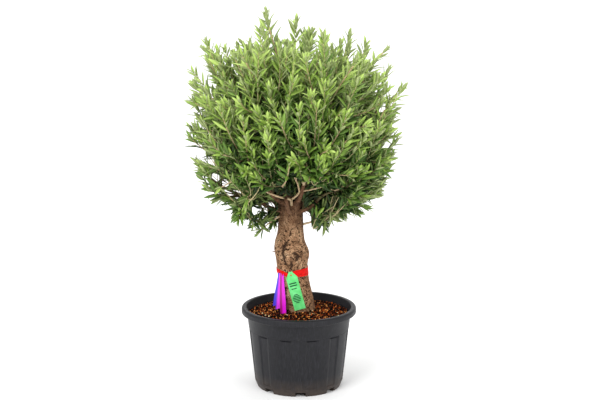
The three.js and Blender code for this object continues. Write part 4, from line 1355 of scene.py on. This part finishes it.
# The front fork's ends run on as leafy shoots in front of the crown, and two shoots spring from
# the bark below it
FORK_SHOOTS = [  # which mass carries it, where it starts, where it turns up, its tip, and its radius
    ("low_5", (-112, -140, 776), (-150, -175, 800), (-158, -205, 868), 2.6),
    ("low_5", (-20, -150, 846), (-30, -168, 880), (-34, -190, 968), 2.6),
    ("low_5", (-12, -138, 824), (20, -160, 870), (36, -195, 965), 2.6),
    ("low_6", (132, -178, 792), (168, -205, 806), (190, -225, 868), 2.6),
    ("low_6", (60, -140, 790), (96, -172, 822), (112, -200, 884), 2.6),
    ("low_6", (17, -16, 634), (74, -30, 650), (158, -44, 690), 4.6),
    ("low_5", (-72, -14, 664), (-106, -26, 650), (-150, -40, 606), 4.6),
]
for name, *curve, thick in FORK_SHOOTS:
    owner = next(mass for mass in masses if mass["name"] == name)
    grow(owner, np.array(curve, float), (thick, 1.1), 8, 6, OLD_BARK, 110, -0.08, hangs=True)

# Each group of masses is two joined pieces: its leaves, and its stems, twigs and shoots
CROWN_GROUPS = [
    "crown_top_right", "crown_top_left", "crown_middle_right", "crown_middle_left", "crown_low_right",
    "crown_low_left",
]
for i, group in enumerate(CROWN_GROUPS):
    members = masses[3 * i:3 * i + 3]
    nodes = ["foliage_" + mass["name"] for mass in members]
    leaves, tubes = [sum((mass[key] for mass in members), []) for key in ("leaves", "tubes")]
    leaf_mesh = mesh_of("leaves_" + group, *leaf_arrays(leaves))
    add_mesh("leaves_" + group, leaf_mesh, leaf_materials, "olive_foliage", *nodes)
    twig_mesh = mesh_of("twigs_" + group, *join_tubes(tubes), smooth=True)
    add_mesh("twigs_" + group, twig_mesh, twig_materials, "olive_foliage", *nodes)

# The studio
# A plain white paper sweep under broad soft lights, one of which is for the wall behind. The camera
# stands where the photograph was taken from.
FLOOR_HALF = 6.0
SWEEP_BEND_FROM = 5.8
SWEEP_BEND_RADIUS = 1.5
SWEEP_TOP = 6.0
CAMERA_PLACE = (0.0044, -4.5, 1.565)
CAMERA_TILT = 79.41
CAMERA_LENS = 72.6
CAMERA_SENSOR = 36
WORLD_STRENGTH = 0.85

paper, tree, shader, place = new_material("white_paper_sweep", "#f7f7f7", 0.9, 0.0)
paper_grain = add_node(tree, "ShaderNodeTexNoise", {"Vector": place, "Scale": 300.0, "Detail": 2.0})
add_node(
    tree, "ShaderNodeBump", {"Height": paper_grain, "Strength": 0.05, "Distance": 0.0005},
    into=shader["Normal"],
)
sweep = bmesh.new()
bend = arc(SWEEP_BEND_FROM, SWEEP_BEND_RADIUS, SWEEP_BEND_RADIUS, -90, 0, 15)
sweep_line = [(-FLOOR_HALF, 0), *bend, (SWEEP_BEND_FROM + SWEEP_BEND_RADIUS, SWEEP_TOP)]
line_verts = [sweep.verts.new((-FLOOR_HALF, y, z)) for y, z in sweep_line]
line_edges = [sweep.edges.new(pair) for pair in zip(line_verts, line_verts[1:])]
swept = bmesh.ops.extrude_edge_only(sweep, edges=line_edges)["geom"]
far_side = [v for v in swept if isinstance(v, bmesh.types.BMVert)]
bmesh.ops.translate(sweep, verts=far_side, vec=(2 * FLOOR_HALF, 0, 0))
bmesh.ops.recalc_face_normals(sweep, faces=sweep.faces)
sweep_mesh = finished("paper_sweep", sweep)
sweep_mesh.materials.append(paper)
sweep_mesh.shade_smooth()
new_object("paper_sweep", sweep_mesh)


def add_light(name, place, target, size, power):
    """A square area light that faces a point."""
    lamp = bpy.data.lights.new(name, "AREA")
    lamp.size = size
    lamp.energy = power
    light = new_object(name, lamp)
    light.location = place
    light.rotation_euler = (Vector(target) - Vector(place)).to_track_quat("-Z", "Y").to_euler()


add_light("key_light", (-2.2, -3.4, 3.6), (0, 0, 0.8), 2.4, 150)
add_light("fill_light", (2.8, -3.0, 1.8), (0, 0, 0.7), 2.4, 50)
add_light("top_light", (0.2, 0.6, 4.2), (0, 0, 1.0), 2.4, 70)
add_light("backdrop_light", (0, 3.0, 4.6), (0, 7.3, 2.0), 3.0, 110)
world = bpy.data.worlds.new("studio_white")
world.use_nodes = True
background = world.node_tree.nodes["Background"]
background.inputs["Color"].default_value = (1, 1, 1, 1)
background.inputs["Strength"].default_value = WORLD_STRENGTH
bpy.context.scene.world = world
bpy.context.scene.view_settings.view_transform = "Standard"

camera_data = bpy.data.cameras.new("camera")
camera_data.lens = CAMERA_LENS
camera_data.sensor_width = CAMERA_SENSOR
camera = new_object("camera", camera_data)
camera.location = CAMERA_PLACE
camera.rotation_euler = (math.radians(CAMERA_TILT), 0, 0)
bpy.context.scene.camera = camera
